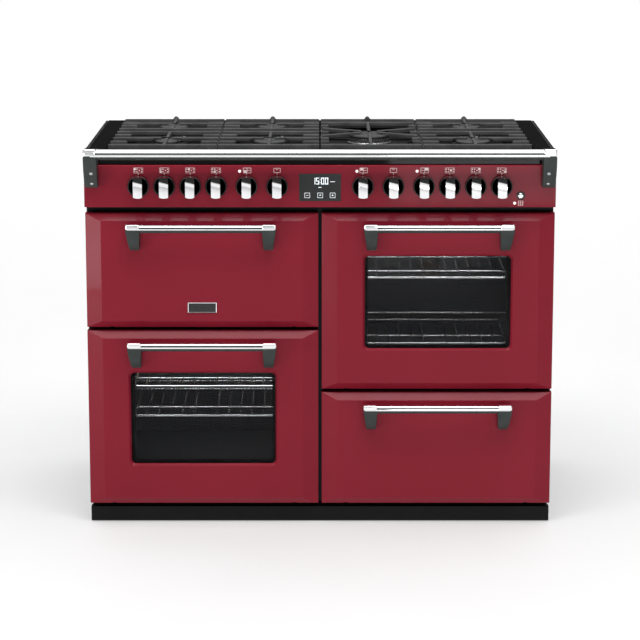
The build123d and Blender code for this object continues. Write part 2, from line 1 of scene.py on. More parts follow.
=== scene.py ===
# %% [markdown]
# # A freestanding gas range
# The range is a steel box about as wide as a desk. It carries seven gas burners on top, four oven
# compartments in front and a row of knobs between them. The measured parts come from a CAD model that
# is loaded first and never changed. Everything you build here fits round it: the pressed doors, the
# cast pan supports, the turned burners, the knobs, and all the finishes.

# %% Load the frame
import json
import math

import bpy
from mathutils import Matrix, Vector


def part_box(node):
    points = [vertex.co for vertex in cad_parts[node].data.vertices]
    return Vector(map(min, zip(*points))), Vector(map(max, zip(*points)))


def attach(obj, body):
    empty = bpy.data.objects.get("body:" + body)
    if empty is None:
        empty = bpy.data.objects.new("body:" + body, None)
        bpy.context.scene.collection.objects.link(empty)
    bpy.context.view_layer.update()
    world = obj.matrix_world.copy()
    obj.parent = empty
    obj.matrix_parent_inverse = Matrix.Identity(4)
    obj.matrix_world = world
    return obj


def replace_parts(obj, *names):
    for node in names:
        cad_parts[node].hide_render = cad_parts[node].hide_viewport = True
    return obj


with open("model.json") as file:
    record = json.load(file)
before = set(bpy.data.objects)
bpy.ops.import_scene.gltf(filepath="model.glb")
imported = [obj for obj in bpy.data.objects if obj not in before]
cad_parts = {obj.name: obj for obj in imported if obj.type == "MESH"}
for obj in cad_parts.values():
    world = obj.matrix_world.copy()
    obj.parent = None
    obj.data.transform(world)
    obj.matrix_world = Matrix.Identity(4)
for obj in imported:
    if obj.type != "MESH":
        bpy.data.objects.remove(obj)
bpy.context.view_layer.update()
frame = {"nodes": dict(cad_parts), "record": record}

# %% [markdown]
# ## Hands
# Modelling by operator acts on whatever is selected, so each helper first puts everything down and
# then picks up only what it needs. The helpers below are the moves made again and again: picking
# faces by their place, adding a block, turning a round part, and applying a modifier.

# %% Picking up and putting down
MM = 0.001


def let_go():
    """Goes back to object mode with nothing selected."""
    if bpy.context.object and bpy.context.object.mode != "OBJECT":
        bpy.ops.object.mode_set(mode="OBJECT")
    bpy.ops.object.select_all(action="DESELECT")


def take(*pieces):
    """Selects these pieces, with the first one active."""
    let_go()
    for piece in pieces:
        piece.select_set(True)
    bpy.context.view_layer.objects.active = pieces[0]


def settle(piece, at=None, turn=None):
    """Moves and turns a piece, then writes its place into its mesh."""
    take(piece)
    if turn:
        piece.rotation_euler = turn
    if at is not None:
        piece.location = at
    bpy.ops.object.transform_apply(location=True, rotation=True, scale=True)
    return piece


def edit_all(piece):
    """Opens a piece in edit mode with everything selected."""
    take(piece)
    bpy.ops.object.mode_set(mode="EDIT")
    bpy.ops.mesh.select_all(action="SELECT")


def extrude(shift):
    """Pulls the selected faces out by a shift."""
    bpy.ops.mesh.extrude_region_move(TRANSFORM_OT_translate={"value": shift})


def scale_about(middle, value):
    """Scales what is selected about a point."""
    bpy.ops.transform.resize(value=value, center_override=middle)


def choose(piece, kind, test):
    """Selects the faces or edges that pass a test on their middle and direction, in edit mode."""
    take(piece)
    bpy.ops.object.mode_set(mode="EDIT")
    bpy.ops.mesh.select_mode(type=kind)
    bpy.ops.mesh.select_all(action="DESELECT")
    bpy.ops.object.mode_set(mode="OBJECT")
    mesh = piece.data
    if kind == "FACE":
        for face in mesh.polygons:
            face.select = test(face.center, face.normal)
    else:
        for edge in mesh.edges:
            a, b = (mesh.vertices[v].co for v in edge.vertices)
            edge.select = test((a + b) / 2, b - a)
    bpy.ops.object.mode_set(mode="EDIT")


print("lengths are written in millimetres and multiplied by", MM)

# %% Adding and finishing shapes
def block(name, low, high):
    """A cuboid between two corners."""
    let_go()
    low, high = Vector(low), Vector(high)
    bpy.ops.mesh.primitive_cube_add(size=1, location=(low + high) / 2, scale=high - low)
    piece = bpy.context.object
    piece.name = name
    return settle(piece)


def rod(name, start, end, radius, sides=32):
    """A round bar between two points."""
    let_go()
    start, end = Vector(start), Vector(end)
    along = end - start
    bpy.ops.mesh.primitive_cylinder_add(
        vertices=sides,
        radius=radius,
        depth=along.length,
        location=(start + end) / 2,
        rotation=along.to_track_quat("Z", "Y").to_euler(),
    )
    piece = bpy.context.object
    piece.name = name
    return settle(piece)


def turned(name, profile, sides=64):
    """A part turned about the z axis, from a closed disc and one extrusion for each step of its profile."""
    let_go()
    radius, height = profile[0]
    bpy.ops.mesh.primitive_circle_add(
        vertices=sides, radius=radius, fill_type="NGON", location=(0, 0, height)
    )
    piece = bpy.context.object
    piece.name = name
    edit_all(settle(piece))
    for (was, low), (now, high) in zip(profile, profile[1:]):
        extrude((0, 0, high - low))
        scale_about((0, 0, high), (now / was, now / was, 1))
    return outward(piece)


def outward(piece):
    """Turns every face of a closed piece to look outwards."""
    edit_all(piece)
    bpy.ops.mesh.normals_make_consistent(inside=False)
    let_go()
    return piece


def modify(piece, kind, **settings):
    """Adds one modifier and applies it."""
    take(piece)
    bpy.ops.object.modifier_add(type=kind)
    tool = piece.modifiers[-1]
    for key, value in settings.items():
        setattr(tool, key, value)
    bpy.ops.object.modifier_apply(modifier=tool.name)
    return piece


def smooth(piece, angle=40):
    take(piece)
    bpy.ops.object.shade_smooth_by_angle(angle=math.radians(angle))
    return piece


def soften(piece, radius, steps=3, angle=30):
    """Rounds every edge that is sharper than the angle, and keeps the flat faces flat."""
    limit = math.radians(angle)
    modify(piece, "BEVEL", width=radius, segments=steps, limit_method="ANGLE", angle_limit=limit)
    smooth(piece)
    return modify(piece, "WEIGHTED_NORMAL", keep_sharp=True)


def cut(piece, *cutters):
    """Cuts closed shapes out of a piece and throws the cutters away."""
    for cutter in cutters:
        modify(piece, "BOOLEAN", operation="DIFFERENCE", solver="EXACT", object=cutter)
        bpy.data.objects.remove(cutter)
    return piece


def joined(name, pieces):
    take(*pieces)
    bpy.ops.object.join()
    piece = bpy.context.object
    piece.name = name
    return piece


def copy_of(piece, name, shift=(0, 0, 0)):
    """A copy with its own mesh, moved by a shift."""
    take(piece)
    bpy.ops.object.duplicate(linked=False)
    twin = bpy.context.object
    twin.name = name
    return settle(twin, at=Vector(shift))


def fit_out(piece, body, finish):
    """Gives a finished piece its material and its body."""
    piece.data.materials.clear()
    piece.data.materials.append(finish)
    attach(piece, body)
    return piece


print("helpers ready")

# %% [markdown]
# ## Finishes
# Each finish is one Principled surface. Noise on object coordinates changes its colour and roughness a
# little from place to place and lifts or sinks it by a few hundredths of a millimetre, because real
# enamel, iron and chrome are never perfectly even.

# %% A finish and its grain
def new_finish(name, colour, roughness, metallic=0.0, **sockets):
    """A material with a plain Principled surface, ready for its grain."""
    finish = bpy.data.materials.new(name)
    finish.use_nodes = True
    surface = finish.node_tree.nodes["Principled BSDF"]
    surface.inputs["Base Color"].default_value = (*colour, 1)
    surface.inputs["Roughness"].default_value = roughness
    surface.inputs["Metallic"].default_value = metallic
    for socket, value in sockets.items():
        surface.inputs[socket.replace("_", " ")].default_value = value
    return finish


def pattern(finish, kind, scale, stretch=(1, 1, 1), **settings):
    """A procedural texture on object coordinates, which may be stretched along an axis."""
    nodes, links = finish.node_tree.nodes, finish.node_tree.links
    place = nodes.new("ShaderNodeTexCoord")
    mapping = nodes.new("ShaderNodeMapping")
    mapping.inputs["Scale"].default_value = stretch
    texture = nodes.new(kind)
    texture.inputs["Scale"].default_value = scale
    for key, value in settings.items():
        texture.inputs[key].default_value = value
    links.new(place.outputs["Object"], mapping.inputs["Vector"])
    links.new(mapping.outputs["Vector"], texture.inputs["Vector"])
    return texture


def between(finish, source, low, high, start=0.3, stop=0.7):
    """Spreads part of a pattern's range over two numbers or two colours."""
    nodes, links = finish.node_tree.nodes, finish.node_tree.links
    if isinstance(low, tuple):
        ramp = nodes.new("ShaderNodeValToRGB")
        ramp.color_ramp.elements[0].position = start
        ramp.color_ramp.elements[0].color = (*low, 1)
        ramp.color_ramp.elements[1].position = stop
        ramp.color_ramp.elements[1].color = (*high, 1)
        links.new(source, ramp.inputs["Fac"])
        return ramp.outputs["Color"]
    spread = nodes.new("ShaderNodeMapRange")
    spread.inputs["From Min"].default_value = start
    spread.inputs["From Max"].default_value = stop
    spread.inputs["To Min"].default_value = low
    spread.inputs["To Max"].default_value = high
    links.new(source, spread.inputs["Value"])
    return spread.outputs["Result"]


def drive(finish, socket, source):
    surface = finish.node_tree.nodes["Principled BSDF"]
    finish.node_tree.links.new(source, surface.inputs[socket])


def relief(finish, source, strength, distance=0.3 * MM):
    """Raises the surface by a pattern."""
    bump = finish.node_tree.nodes.new("ShaderNodeBump")
    bump.inputs["Strength"].default_value = strength
    bump.inputs["Distance"].default_value = distance
    finish.node_tree.links.new(source, bump.inputs["Height"])
    drive(finish, "Normal", bump.outputs["Normal"])


def grained(finish, dark, light, rough, cloud=8, grain=300, strength=0.1, distance=0.3 * MM):
    """Clouds of colour, a drifting roughness and a fine relief, which suit most of the finishes."""
    clouds = pattern(finish, "ShaderNodeTexNoise", cloud, Detail=4.0)
    drive(finish, "Base Color", between(finish, clouds.outputs["Fac"], dark, light))
    wear = pattern(finish, "ShaderNodeTexNoise", cloud * 6, Detail=3.0)
    drive(finish, "Roughness", between(finish, wear.outputs["Fac"], *rough))
    fine = pattern(finish, "ShaderNodeTexNoise", grain, Detail=2.0)
    relief(finish, fine.outputs["Fac"], strength, distance)
    return finish


print("every finish has clouds, wear and a fine relief")

# %% Enamels
def enamel(name, dark, light, rough=(0.28, 0.36), strength=0.05):
    """Glass fired onto steel: a deep even colour under a clear skin with a faint orange-peel ripple."""
    finish = new_finish(name, light, 0.3, Coat_Weight=0.12, Coat_Roughness=0.05, Specular_IOR_Level=0.1)
    return grained(finish, dark, light, rough, cloud=3, grain=140, strength=strength)


RED = enamel("deep_red_enamel", (0.215, 0.009, 0.022), (0.245, 0.012, 0.027))
BLACK = enamel("black_enamel", (0.008, 0.008, 0.009), (0.012, 0.012, 0.013))
HOB = new_finish("hob_enamel", (0.002, 0.002, 0.002), 0.12, Specular_IOR_Level=0.14)
grained(HOB, (0.0012, 0.0012, 0.0012), (0.002, 0.002, 0.002), (0.03, 0.05), cloud=6, grain=70, strength=0.004)
CAP_ENAMEL = grained(
    new_finish("matte_cap_enamel", (0.03, 0.03, 0.03), 0.5),
    (0.022, 0.022, 0.023), (0.04, 0.04, 0.042), (0.4, 0.55), cloud=40, grain=900, strength=0.15,
)
SIDE_PAINT = grained(
    new_finish("satin_black_paint", (0.012, 0.012, 0.013), 0.45, Specular_IOR_Level=0.12),
    (0.006, 0.006, 0.0065), (0.009, 0.009, 0.0095), (0.4, 0.5), cloud=5, grain=700, strength=0.12,
)

OVEN = new_finish("speckled_oven_enamel", (0.03, 0.032, 0.037), 0.3, Coat_Weight=0.6, Coat_Roughness=0.12)
specks = pattern(OVEN, "ShaderNodeTexVoronoi", 330)
PALE_SPECK, DARK_GROUND = (0.33, 0.34, 0.36), (0.022, 0.024, 0.029)
drive(OVEN, "Base Color", between(OVEN, specks.outputs["Distance"], PALE_SPECK, DARK_GROUND, 0.1, 0.2))
ripple = pattern(OVEN, "ShaderNodeTexNoise", 160, Detail=2.0)
relief(OVEN, ripple.outputs["Fac"], 0.12)
print("enamels", [finish.name for finish in (RED, BLACK, CAP_ENAMEL, SIDE_PAINT, OVEN)])

# %% Bright and bare metals
CHROME = new_finish("polished_chrome", (0.86, 0.87, 0.88), 0.06, metallic=1.0)
grained(CHROME, (0.84, 0.85, 0.86), (0.9, 0.9, 0.91), (0.035, 0.08), cloud=20, grain=500, strength=0.01)
WIRE = new_finish("bright_wire", (0.75, 0.76, 0.77), 0.18, metallic=1.0)
grained(WIRE, (0.68, 0.69, 0.7), (0.82, 0.82, 0.83), (0.12, 0.25), cloud=30, grain=500, strength=0.05)
ALUMINIUM = new_finish("turned_aluminium", (0.78, 0.78, 0.79), 0.25, metallic=1.0)
grained(ALUMINIUM, (0.7, 0.7, 0.71), (0.85, 0.85, 0.86), (0.2, 0.34), cloud=60, grain=900, strength=0.08)
ELEMENT = new_finish("oxidised_sheath", (0.1, 0.09, 0.085), 0.5, metallic=0.6)
grained(ELEMENT, (0.06, 0.055, 0.05), (0.16, 0.14, 0.12), (0.4, 0.6), cloud=40, grain=800, strength=0.2)

ZINC = new_finish("galvanised_sheet", (0.5, 0.51, 0.53), 0.38, metallic=0.9)
spangle = pattern(ZINC, "ShaderNodeTexVoronoi", 70)
DULL_ZINC, BRIGHT_ZINC = (0.4, 0.42, 0.44), (0.62, 0.63, 0.65)
drive(ZINC, "Base Color", between(ZINC, spangle.outputs["Color"], DULL_ZINC, BRIGHT_ZINC, 0.1, 0.9))
drive(ZINC, "Roughness", between(ZINC, spangle.outputs["Color"], 0.3, 0.46, 0.1, 0.9))
scratches = pattern(ZINC, "ShaderNodeTexNoise", 400, stretch=(1, 1, 0.08), Detail=3.0)
relief(ZINC, scratches.outputs["Fac"], 0.06)

BRACKET = new_finish("dark_grey_metal", (0.05, 0.06, 0.058), 0.45, Specular_IOR_Level=0.2)
grained(BRACKET, (0.034, 0.042, 0.04), (0.046, 0.055, 0.053), (0.34, 0.44), 30, 900, strength=0.08)

IRON = new_finish("cast_iron", (0.05, 0.05, 0.052), 0.62, Specular_IOR_Level=0.3)
grained(IRON, (0.045, 0.045, 0.046), (0.08, 0.08, 0.082), (0.5, 0.72), cloud=24, grain=520, strength=0.5)
print("metals", [finish.name for finish in (CHROME, WIRE, ALUMINIUM, ELEMENT, ZINC, BRACKET, IRON)])

# %% Plastics, glass and lamps
GLOSS_BLACK = new_finish("gloss_black_plastic", (0.012, 0.012, 0.013), 0.22)
grained(GLOSS_BLACK, (0.01, 0.01, 0.011), (0.016, 0.016, 0.017), (0.16, 0.28), 30, 900, strength=0.04)
FOOT = new_finish("glass_filled_plastic", (0.02, 0.02, 0.02), 0.6)
grained(FOOT, (0.016, 0.016, 0.016), (0.028, 0.028, 0.028), (0.5, 0.7), cloud=40, grain=900, strength=0.3)
ROPE = new_finish("woven_seal", (0.03, 0.03, 0.03), 0.9)
grained(ROPE, (0.018, 0.018, 0.018), (0.06, 0.058, 0.055), (0.8, 0.95), cloud=500, grain=900, strength=0.8)
PORCELAIN = new_finish("spark_porcelain", (0.8, 0.79, 0.76), 0.3)
grained(PORCELAIN, (0.74, 0.73, 0.7), (0.84, 0.83, 0.8), (0.2, 0.35), cloud=80, grain=900, strength=0.05)
PRINT = new_finish("pale_printing", (0.85, 0.66, 0.66), 0.5)
grained(PRINT, (0.9, 0.7, 0.7), (0.98, 0.82, 0.82), (0.4, 0.6), cloud=60, grain=900, strength=0.05)

DOOR_GLASS = new_finish("tinted_door_glass", (0.004, 0.004, 0.005), 0.03, Alpha=0.14, Specular_IOR_Level=0.25)
haze = pattern(DOOR_GLASS, "ShaderNodeTexNoise", 5, Detail=2.0)
drive(DOOR_GLASS, "Roughness", between(DOOR_GLASS, haze.outputs["Fac"], 0.02, 0.05))
CLOCK_GLASS = new_finish("smoked_clock_glass", (0.045, 0.05, 0.05), 0.12, Specular_IOR_Level=0.3)
grained(CLOCK_GLASS, (0.022, 0.025, 0.025), (0.03, 0.033, 0.033), (0.1, 0.16), 10, 600, strength=0.01)


def glowing(name, colour, strength):
    """A lit lamp or segment: a pale skin over a soft glow that is a little uneven."""
    finish = new_finish(name, colour, 0.35, Emission_Color=(*colour, 1))
    flow = pattern(finish, "ShaderNodeTexNoise", 90, Detail=2.0)
    drive(finish, "Emission Strength", between(finish, flow.outputs["Fac"], strength * 0.85, strength * 1.1))
    return finish


DIGITS = glowing("clock_segments", (0.85, 0.9, 0.92), 0.7)
NEON = glowing("neon_lens", (0.95, 0.86, 0.84), 0.6)
LAMP = glowing("oven_lamp_lens", (1.0, 0.86, 0.62), 1.2)
print("plastics, glass and lamps ready")

# %% [markdown]
# ## Finishes for the measured parts
# The CAD parts that already have the right shape only need their finish. The record lists which
# finish family each of them belongs to, so one table of families dresses them all. Only the fan
# differs: it is zinc coated like the sheets, but it is given the dull dark finish of the heating elements.

# %% Dress the CAD parts
FAMILY = {
    "enamel_red": RED, "enamel_black": BLACK, "side_black": SIDE_PAINT, "plinth_black": SIDE_PAINT,
    "cap_enamel": CAP_ENAMEL, "oven_enamel": OVEN, "bracket_grey": BRACKET, "bright_chrome": CHROME,
    "shelf_chrome": WIRE, "galvanised_steel": ZINC, "element_steel": ELEMENT, "burner_aluminium": ALUMINIUM,
    "cast_iron": IRON, "clock_glass": CLOCK_GLASS, "door_glass": DOOR_GLASS, "knob_body": GLOSS_BLACK,
    "seal_rubber": ROPE, "foot_plastic": FOOT,
}
for part in frame["record"]["subparts"]:
    node = frame["nodes"][part["node"]]
    finish = ELEMENT if part["node"] == "oven_fan" else FAMILY[part["material_slot"]]
    for place in node.material_slots:
        place.material = finish

# %% [markdown]
# ## Camera, light and floor
# The range stands on a plain pale floor. A very wide soft light hangs over everything. A smaller one
# above and in front shows in the top borders of the doors, a low wide one at the left shows only in
# the left-hand borders, and a faint low one lifts the right side. The sky is white at the horizon and
# dark above it, so the glossy hob stays black. The camera looks down a little from standing height.

# %% Camera
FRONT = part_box("control_fascia")[0].y
CAMERA_AWAY, CAMERA_HEIGHT, CAMERA_TILT = 5.421, 1.6251, 10.96
let_go()
bpy.ops.object.camera_add(
    location=(0, FRONT - CAMERA_AWAY, CAMERA_HEIGHT), rotation=(math.radians(90 - CAMERA_TILT), 0, 0)
)
camera = bpy.context.object
camera.data.sensor_width = 36
camera.data.lens = 132.2
camera.data.shift_y = -0.05
bpy.context.scene.camera = camera
print("camera", [round(v, 3) for v in camera.location])

# %% Lights
def soft_light(name, at, towards, size, power, colour=(1, 1, 1)):
    """A rectangular softbox that faces a point."""
    let_go()
    aim = (Vector(towards) - Vector(at)).to_track_quat("-Z", "Y").to_euler()
    bpy.ops.object.light_add(type="AREA", location=at, rotation=aim)
    lamp = bpy.context.object
    lamp.name = name
    lamp.data.shape = "RECTANGLE"
    lamp.data.size, lamp.data.size_y = size
    lamp.data.energy = power
    lamp.data.color = colour
    return lamp


soft_light("overhead", (0, 2.0, 7), (0, 2.0, 0), (16, 18), 1230)
soft_light("front_top", (0, -1.45, 3.4), (0, -0.3, 0.6), (2.6, 1.1), 52)
soft_light("right_low", (0.8, -3.2, 0.5), (0.75, -0.3, 0.7), (1.1, 0.36), 5)
soft_light("left_low", (-2.6, -2.2, 0.28), (-0.5, -0.3, 0.5), (1.3, 0.5), 17)

world = bpy.data.worlds.new("studio")
bpy.context.scene.world = world
world.use_nodes = True
sky, wires = world.node_tree.nodes, world.node_tree.links
direction = sky.new("ShaderNodeTexCoord")
parts = sky.new("ShaderNodeSeparateXYZ")
horizon = sky.new("ShaderNodeMapRange")
for socket, value in {"From Min": 0.05, "From Max": 0.09, "To Min": 1.0, "To Max": 0.03}.items():
    horizon.inputs[socket].default_value = value
wires.new(direction.outputs["Generated"], parts.inputs["Vector"])
wires.new(parts.outputs["Z"], horizon.inputs["Value"])
wires.new(horizon.outputs["Result"], sky["Background"].inputs["Strength"])
sky["Background"].inputs["Color"].default_value = (1, 1, 1, 1)
bpy.context.scene.view_settings.view_transform = "Standard"

# %% Floor
FLOOR = grained(
    new_finish("pale_floor", (0.86, 0.86, 0.86), 0.6),
    (0.6, 0.6, 0.6), (0.62, 0.62, 0.62), (0.55, 0.65), cloud=2, grain=120, strength=0.02,
)
glow = FLOOR.node_tree.nodes["Principled BSDF"].inputs
glow["Emission Color"].default_value = (1, 1, 1, 1)
glow["Emission Strength"].default_value = 0.3
floor_place = FLOOR.node_tree.nodes.new("ShaderNodeTexCoord")
floor_parts = FLOOR.node_tree.nodes.new("ShaderNodeSeparateXYZ")
FLOOR.node_tree.links.new(floor_place.outputs["Object"], floor_parts.inputs["Vector"])
drive(FLOOR, "Emission Strength", between(FLOOR, floor_parts.outputs["Y"], 0.3, 0.68, 0.5, 9))
let_go()
bpy.ops.mesh.primitive_plane_add(size=18)
floor = bpy.context.object
floor.name = "floor"
floor.data.materials.append(FLOOR)
print("floor", round(floor.dimensions.x, 1), "m square")

# %% [markdown]
# ## Door skins
# Each door is pressed from one sheet: a flat raised field, four sloping borders that meet in mitres,
# and a return edge. Two doors also have a window let into the field. It could be drawn as separate
# strips, but one block with its front face pulled forward and shrunk gives the mitres for nothing.
# The block is then opened at the back and given the thickness of sheet steel.

# %% Press one door skin
BORDER_DEPTH, BORDER_SIDE, BORDER_TOP = 14 * MM, 37 * MM, 17 * MM
WINDOW_WIDE, WINDOW_TALL, WINDOW_SLOPE, WINDOW_CORNER = 343 * MM, 221 * MM, 5 * MM, 9 * MM
SHEET = 1.4 * MM
HINGE_REACH, NOTCH_HALF = 215 * MM, 4.6 * MM


def window_cutter(centre, front):
    """A shallow block with round corners that narrows as it goes in, like the edge of the window."""
    half = Vector((WINDOW_WIDE / 2, 0, WINDOW_TALL / 2))
    depth = 6 * MM
    low, high = centre - half, centre + half
    low.y, high.y = front - depth, front + depth
    cutter = block("window_cutter", low, high)
    choose(cutter, "FACE", lambda middle, normal: normal.y < -0.9)
    grow = 4 * WINDOW_SLOPE
    scale_about((centre.x, low.y, centre.z), (1 + grow / WINDOW_WIDE, 1, 1 + grow / WINDOW_TALL))
    choose(cutter, "EDGE", lambda middle, along: abs(along.y) > depth)
    bpy.ops.mesh.bevel(offset=WINDOW_CORNER, segments=6, affect="EDGES")
    let_go()
    return cutter


def door_skin(name, windowed):
    low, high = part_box(f"{name}_door_panel")
    size, centre = high - low, (low + high) / 2
    skin = block(f"{name}_door_skin", (low.x, low.y + BORDER_DEPTH, low.z), high)
    choose(skin, "FACE", lambda middle, normal: normal.y < -0.9)
    extrude((0, -BORDER_DEPTH, 0))
    narrowed = (1 - 2 * BORDER_SIDE / size.x, 1, 1 - 2 * BORDER_TOP / size.z)
    scale_about((centre.x, low.y, centre.z), narrowed)
    let_go()
    if windowed:
        cut(skin, window_cutter(centre, low.y))
    window_depth = low.y + 3 * MM

    def is_open(middle, normal):
        return normal.y > 0.99 or (normal.y < -0.99 and middle.y > window_depth)

    choose(skin, "FACE", is_open)
    bpy.ops.mesh.delete(type="FACE")
    let_go()
    modify(skin, "SOLIDIFY", thickness=SHEET, offset=-1, use_even_offset=True)
    notches = [
        block("notch", (centre.x + side * HINGE_REACH - NOTCH_HALF, low.y + 13 * MM, low.z - MM),
              (centre.x + side * HINGE_REACH + NOTCH_HALF, high.y + MM, low.z + 6 * MM))
        for side in (-1, 1)
    ]
    cut(skin, *notches)
    soften(skin, 1.3 * MM if windowed else 1.5 * MM, angle=15)
    fit_out(skin, f"{name}_door", RED)
    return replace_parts(skin, f"{name}_door_panel")


DOORS = {"grill": False, "left_oven": True, "right_oven": True, "slow_oven": False}
for name, windowed in DOORS.items():
    skin = door_skin(name, windowed)
    print(skin.name, len(skin.data.polygons), "faces")

# %% [markdown]
# ## Handles
# A handle is a bright bar between two dark feet. The bar is oval chrome; its lower half is a separate dark
# grey piece, a painted reflection of the dark room below it. Each end sits in a bright block. The feet are
# cast: they start as deep as the bar stands off and sweep back to the door. Extruding a rectangle downwards
# in steps, moving and shrinking it each time, follows that sweep.

# %% A foot that sweeps back
def swept_foot(name, top_low, top_high, bottom_low, bottom_high, steps=14):
    """A foot between two level rectangles, given by their front-left and back-right corners.
    Its front face drops straight at first and then curves back; its back face stays flat."""
    let_go()
    rows = []
    for k in range(steps + 1):
        t = k / steps
        sweep = 1 - math.cos(t * math.pi / 2) ** 0.8 if t < 1 else 1
        low = Vector(top_low).lerp(Vector(bottom_low), t)
        high = Vector(top_high).lerp(Vector(bottom_high), t)
        low.y = top_low[1] + (bottom_low[1] - top_low[1]) * sweep
        rows.append((low, high))
    low, high = rows[0]
    bpy.ops.mesh.primitive_plane_add(size=1, location=(low + high) / 2)
    foot = bpy.context.object
    foot.name = name
    foot.scale = (high.x - low.x, high.y - low.y, 1)
    edit_all(settle(foot))
    for (low, high), (next_low, next_high) in zip(rows, rows[1:]):
        middle, next_middle = (low + high) / 2, (next_low + next_high) / 2
        extrude(next_middle - middle)
        was, now = high - low, next_high - next_low
        scale_about(next_middle, (now.x / was.x, now.y / was.y, 1))
    return outward(foot)


print("a foot takes two sections, top and bottom")

# %% A chrome bar with a painted dark reflection underneath
def bar_half(name, start, end, across, tall, split, keep_top):
    """The upper or lower part of an oval bar that runs along x, cut at a level above or below its axis."""
    bar = rod(name, start, end, 1.0, sides=48)
    edit_all(bar)
    scale_about(start, (1, across, tall))
    bpy.ops.mesh.bisect(
        plane_co=(0, start[1], start[2] + split), plane_no=(0, 0, 1),
        use_fill=True, clear_inner=keep_top, clear_outer=not keep_top,
    )
    let_go()
    return smooth(outward(bar), 35)


def held_bar(names, body, bar_box, foot_box, ends, radii, split, width, rounding, toe):
    """A chrome bar whose lower half is painted dark grey, a painted reflection of the dark room below it,
    with a bright block and a dark foot at each end. The names are those of the bright bar, the painted dark
    underside, the blocks and the feet. The toe says how far the foot's bottom edge stands in from the outer
    and the inner side, and how thick it is there."""
    (low, high), (foot_low, foot_high) = bar_box, foot_box
    level = ends[0][2] + split
    bright = bar_half(names[0], *ends, *radii, split, True)
    # The lower half is painted dark grey: a painted reflection of the dark room, on what is really one chrome
    # bar.
    dark = bar_half(names[1], *ends, *radii, split, False)
    blocks, feet = [], []
    for side, outer in ((-1, low.x), (1, high.x)):
        inner = outer - side * width
        left, right = min(outer, inner), max(outer, inner)
        toe_left, toe_right = sorted((outer - side * toe[0], inner + side * toe[1]))
        end = block("end", (left, low.y, level), (right, high.y, high.z))
        blocks.append(soften(end, *rounding[0]))
        feet.append(swept_foot(
            "foot", (left, low.y + MM, level), (right, foot_high.y, level),
            (toe_left, foot_high.y - toe[2], foot_low.z), (toe_right, foot_high.y, foot_low.z),
        ))
    blocks = joined(names[2], blocks)
    feet = soften(joined(names[3], feet), *rounding[1])
    for piece in (bright, blocks):
        fit_out(piece, body, CHROME)
    # The painted dark reflection under the bar shares the dark grey finish of the feet.
    for piece in (dark, feet):
        fit_out(piece, body, BRACKET)
    print(names[0], "from", round(ends[0][0], 3), "to", round(ends[1][0], 3))
    return bright, feet


print("a held bar has a bright half, a dark half, two end blocks and two feet")

# %% Four handles
for name in DOORS:
    low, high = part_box(f"{name}_handle_bar")
    foot_low, foot_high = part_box(f"{name}_handle_brackets")
    y, z = low.y + 9 * MM, high.z - 11 * MM
    # The bar's second, lower piece is a painted dark reflection of the room below it.
    bright, feet = held_bar(
        [f"{name}_handle_{piece}" for piece in ("bright_bar", "painted_reflection_underside", "end_blocks", "feet")],
        f"{name}_door", (low, high), (foot_low, foot_high),
        [(low.x + 4 * MM, y, z), (high.x - 4 * MM, y, z)], (8 * MM, 9.5 * MM), -2 * MM, 33 * MM,
        ((3.5 * MM, 4), (1.5 * MM, 3, 35)), (8 * MM, 3 * MM, 14 * MM),
    )
    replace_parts(bright, f"{name}_handle_bar")
    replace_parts(feet, f"{name}_handle_brackets")
print("handles", len(DOORS))

# %% [markdown]
# ## Front rail
# A heavier version of the same handle runs right across below the hob, so the same routine makes it, with the
# same painted dark reflection on its lower half. Each of its legs is held by two domed screws.

# %% Rail and legs
low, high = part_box("hob_rail")
leg_low, leg_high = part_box("rail_brackets")
RAIL_RADIUS = 12.5 * MM
y, z = low.y + RAIL_RADIUS, low.z + RAIL_RADIUS
# The piece named dark is the rail's lower half, a painted dark reflection of the shaded gap below the rail.
rail, legs = held_bar(
    [f"front_rail_{piece}" for piece in ("bright", "dark", "end_blocks", "legs")],
    "carcass", (low, high), (leg_low, leg_high),
    [(low.x + 17 * MM, y, z), (high.x - 17 * MM, y, z)], (RAIL_RADIUS, RAIL_RADIUS), -4 * MM, 31 * MM,
    ((5 * MM, 5), (2 * MM, 3, 35)), (0, 0, 12 * MM),
)
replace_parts(rail, "hob_rail")
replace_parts(legs, "rail_brackets")
print("front rail", round(high.x - low.x, 3), "m long")

# %% Rail screws
def facing_front(piece):
    """Turns a piece made about z so that its top looks towards -y."""
    return settle(piece, turn=(math.radians(90), 0, 0))


def domed_screw(name, radius, dome):
    """A round screw head that looks towards -y, centred on the origin, with a small socket in it."""
    profile = [(radius, -6 * MM), (radius, dome * 0.35), (radius * 0.8, dome * 0.75), (radius * 0.4, dome)]
    head = turned(name, profile, 32)
    socket = rod("socket", (0, 0, dome * 0.55), (0, 0, dome * 1.5), radius * 0.28, sides=6)
    cut(head, socket)
    return smooth(facing_front(head), 30)


screws = []
for side in (-1, 1):
    for forward, height, lean in ((40 * MM, 852 * MM, 27), (22.5 * MM, 826 * MM, 42)):
        head = domed_screw("rail_screw", 4 * MM, 2.4 * MM)
        at = (side * 529 * MM, FRONT - forward, height)
        screws.append(settle(head, at=at, turn=(math.radians(lean), 0, 0)))
screws = fit_out(joined("rail_screws", screws), "carcass", ZINC)
print("rail screws at", [round(v, 3) for v in screws.data.vertices[0].co])

# %% [markdown]
# ## Knobs
# Twelve knobs are the same, so you build one at the origin and copy it. The skirt is turned. The grip
# starts as a disc with its sides sliced off, which leaves a bar with arched ends; its face is then
# bowed by keeping only what lies inside a wide drum, so the lower half picks up the pale floor and
# the upper half the dark room.

# %% One knob
SKIRT_BACK, SKIRT_FRONT, GRIP_FRONT = -3 * MM, -11 * MM, -36 * MM
KNOB_R, GRIP_R, GRIP_HALF = 25 * MM, 24.5 * MM, 10.5 * MM
GRIP_BOW, GRIP_LEAN = 100 * MM, 14

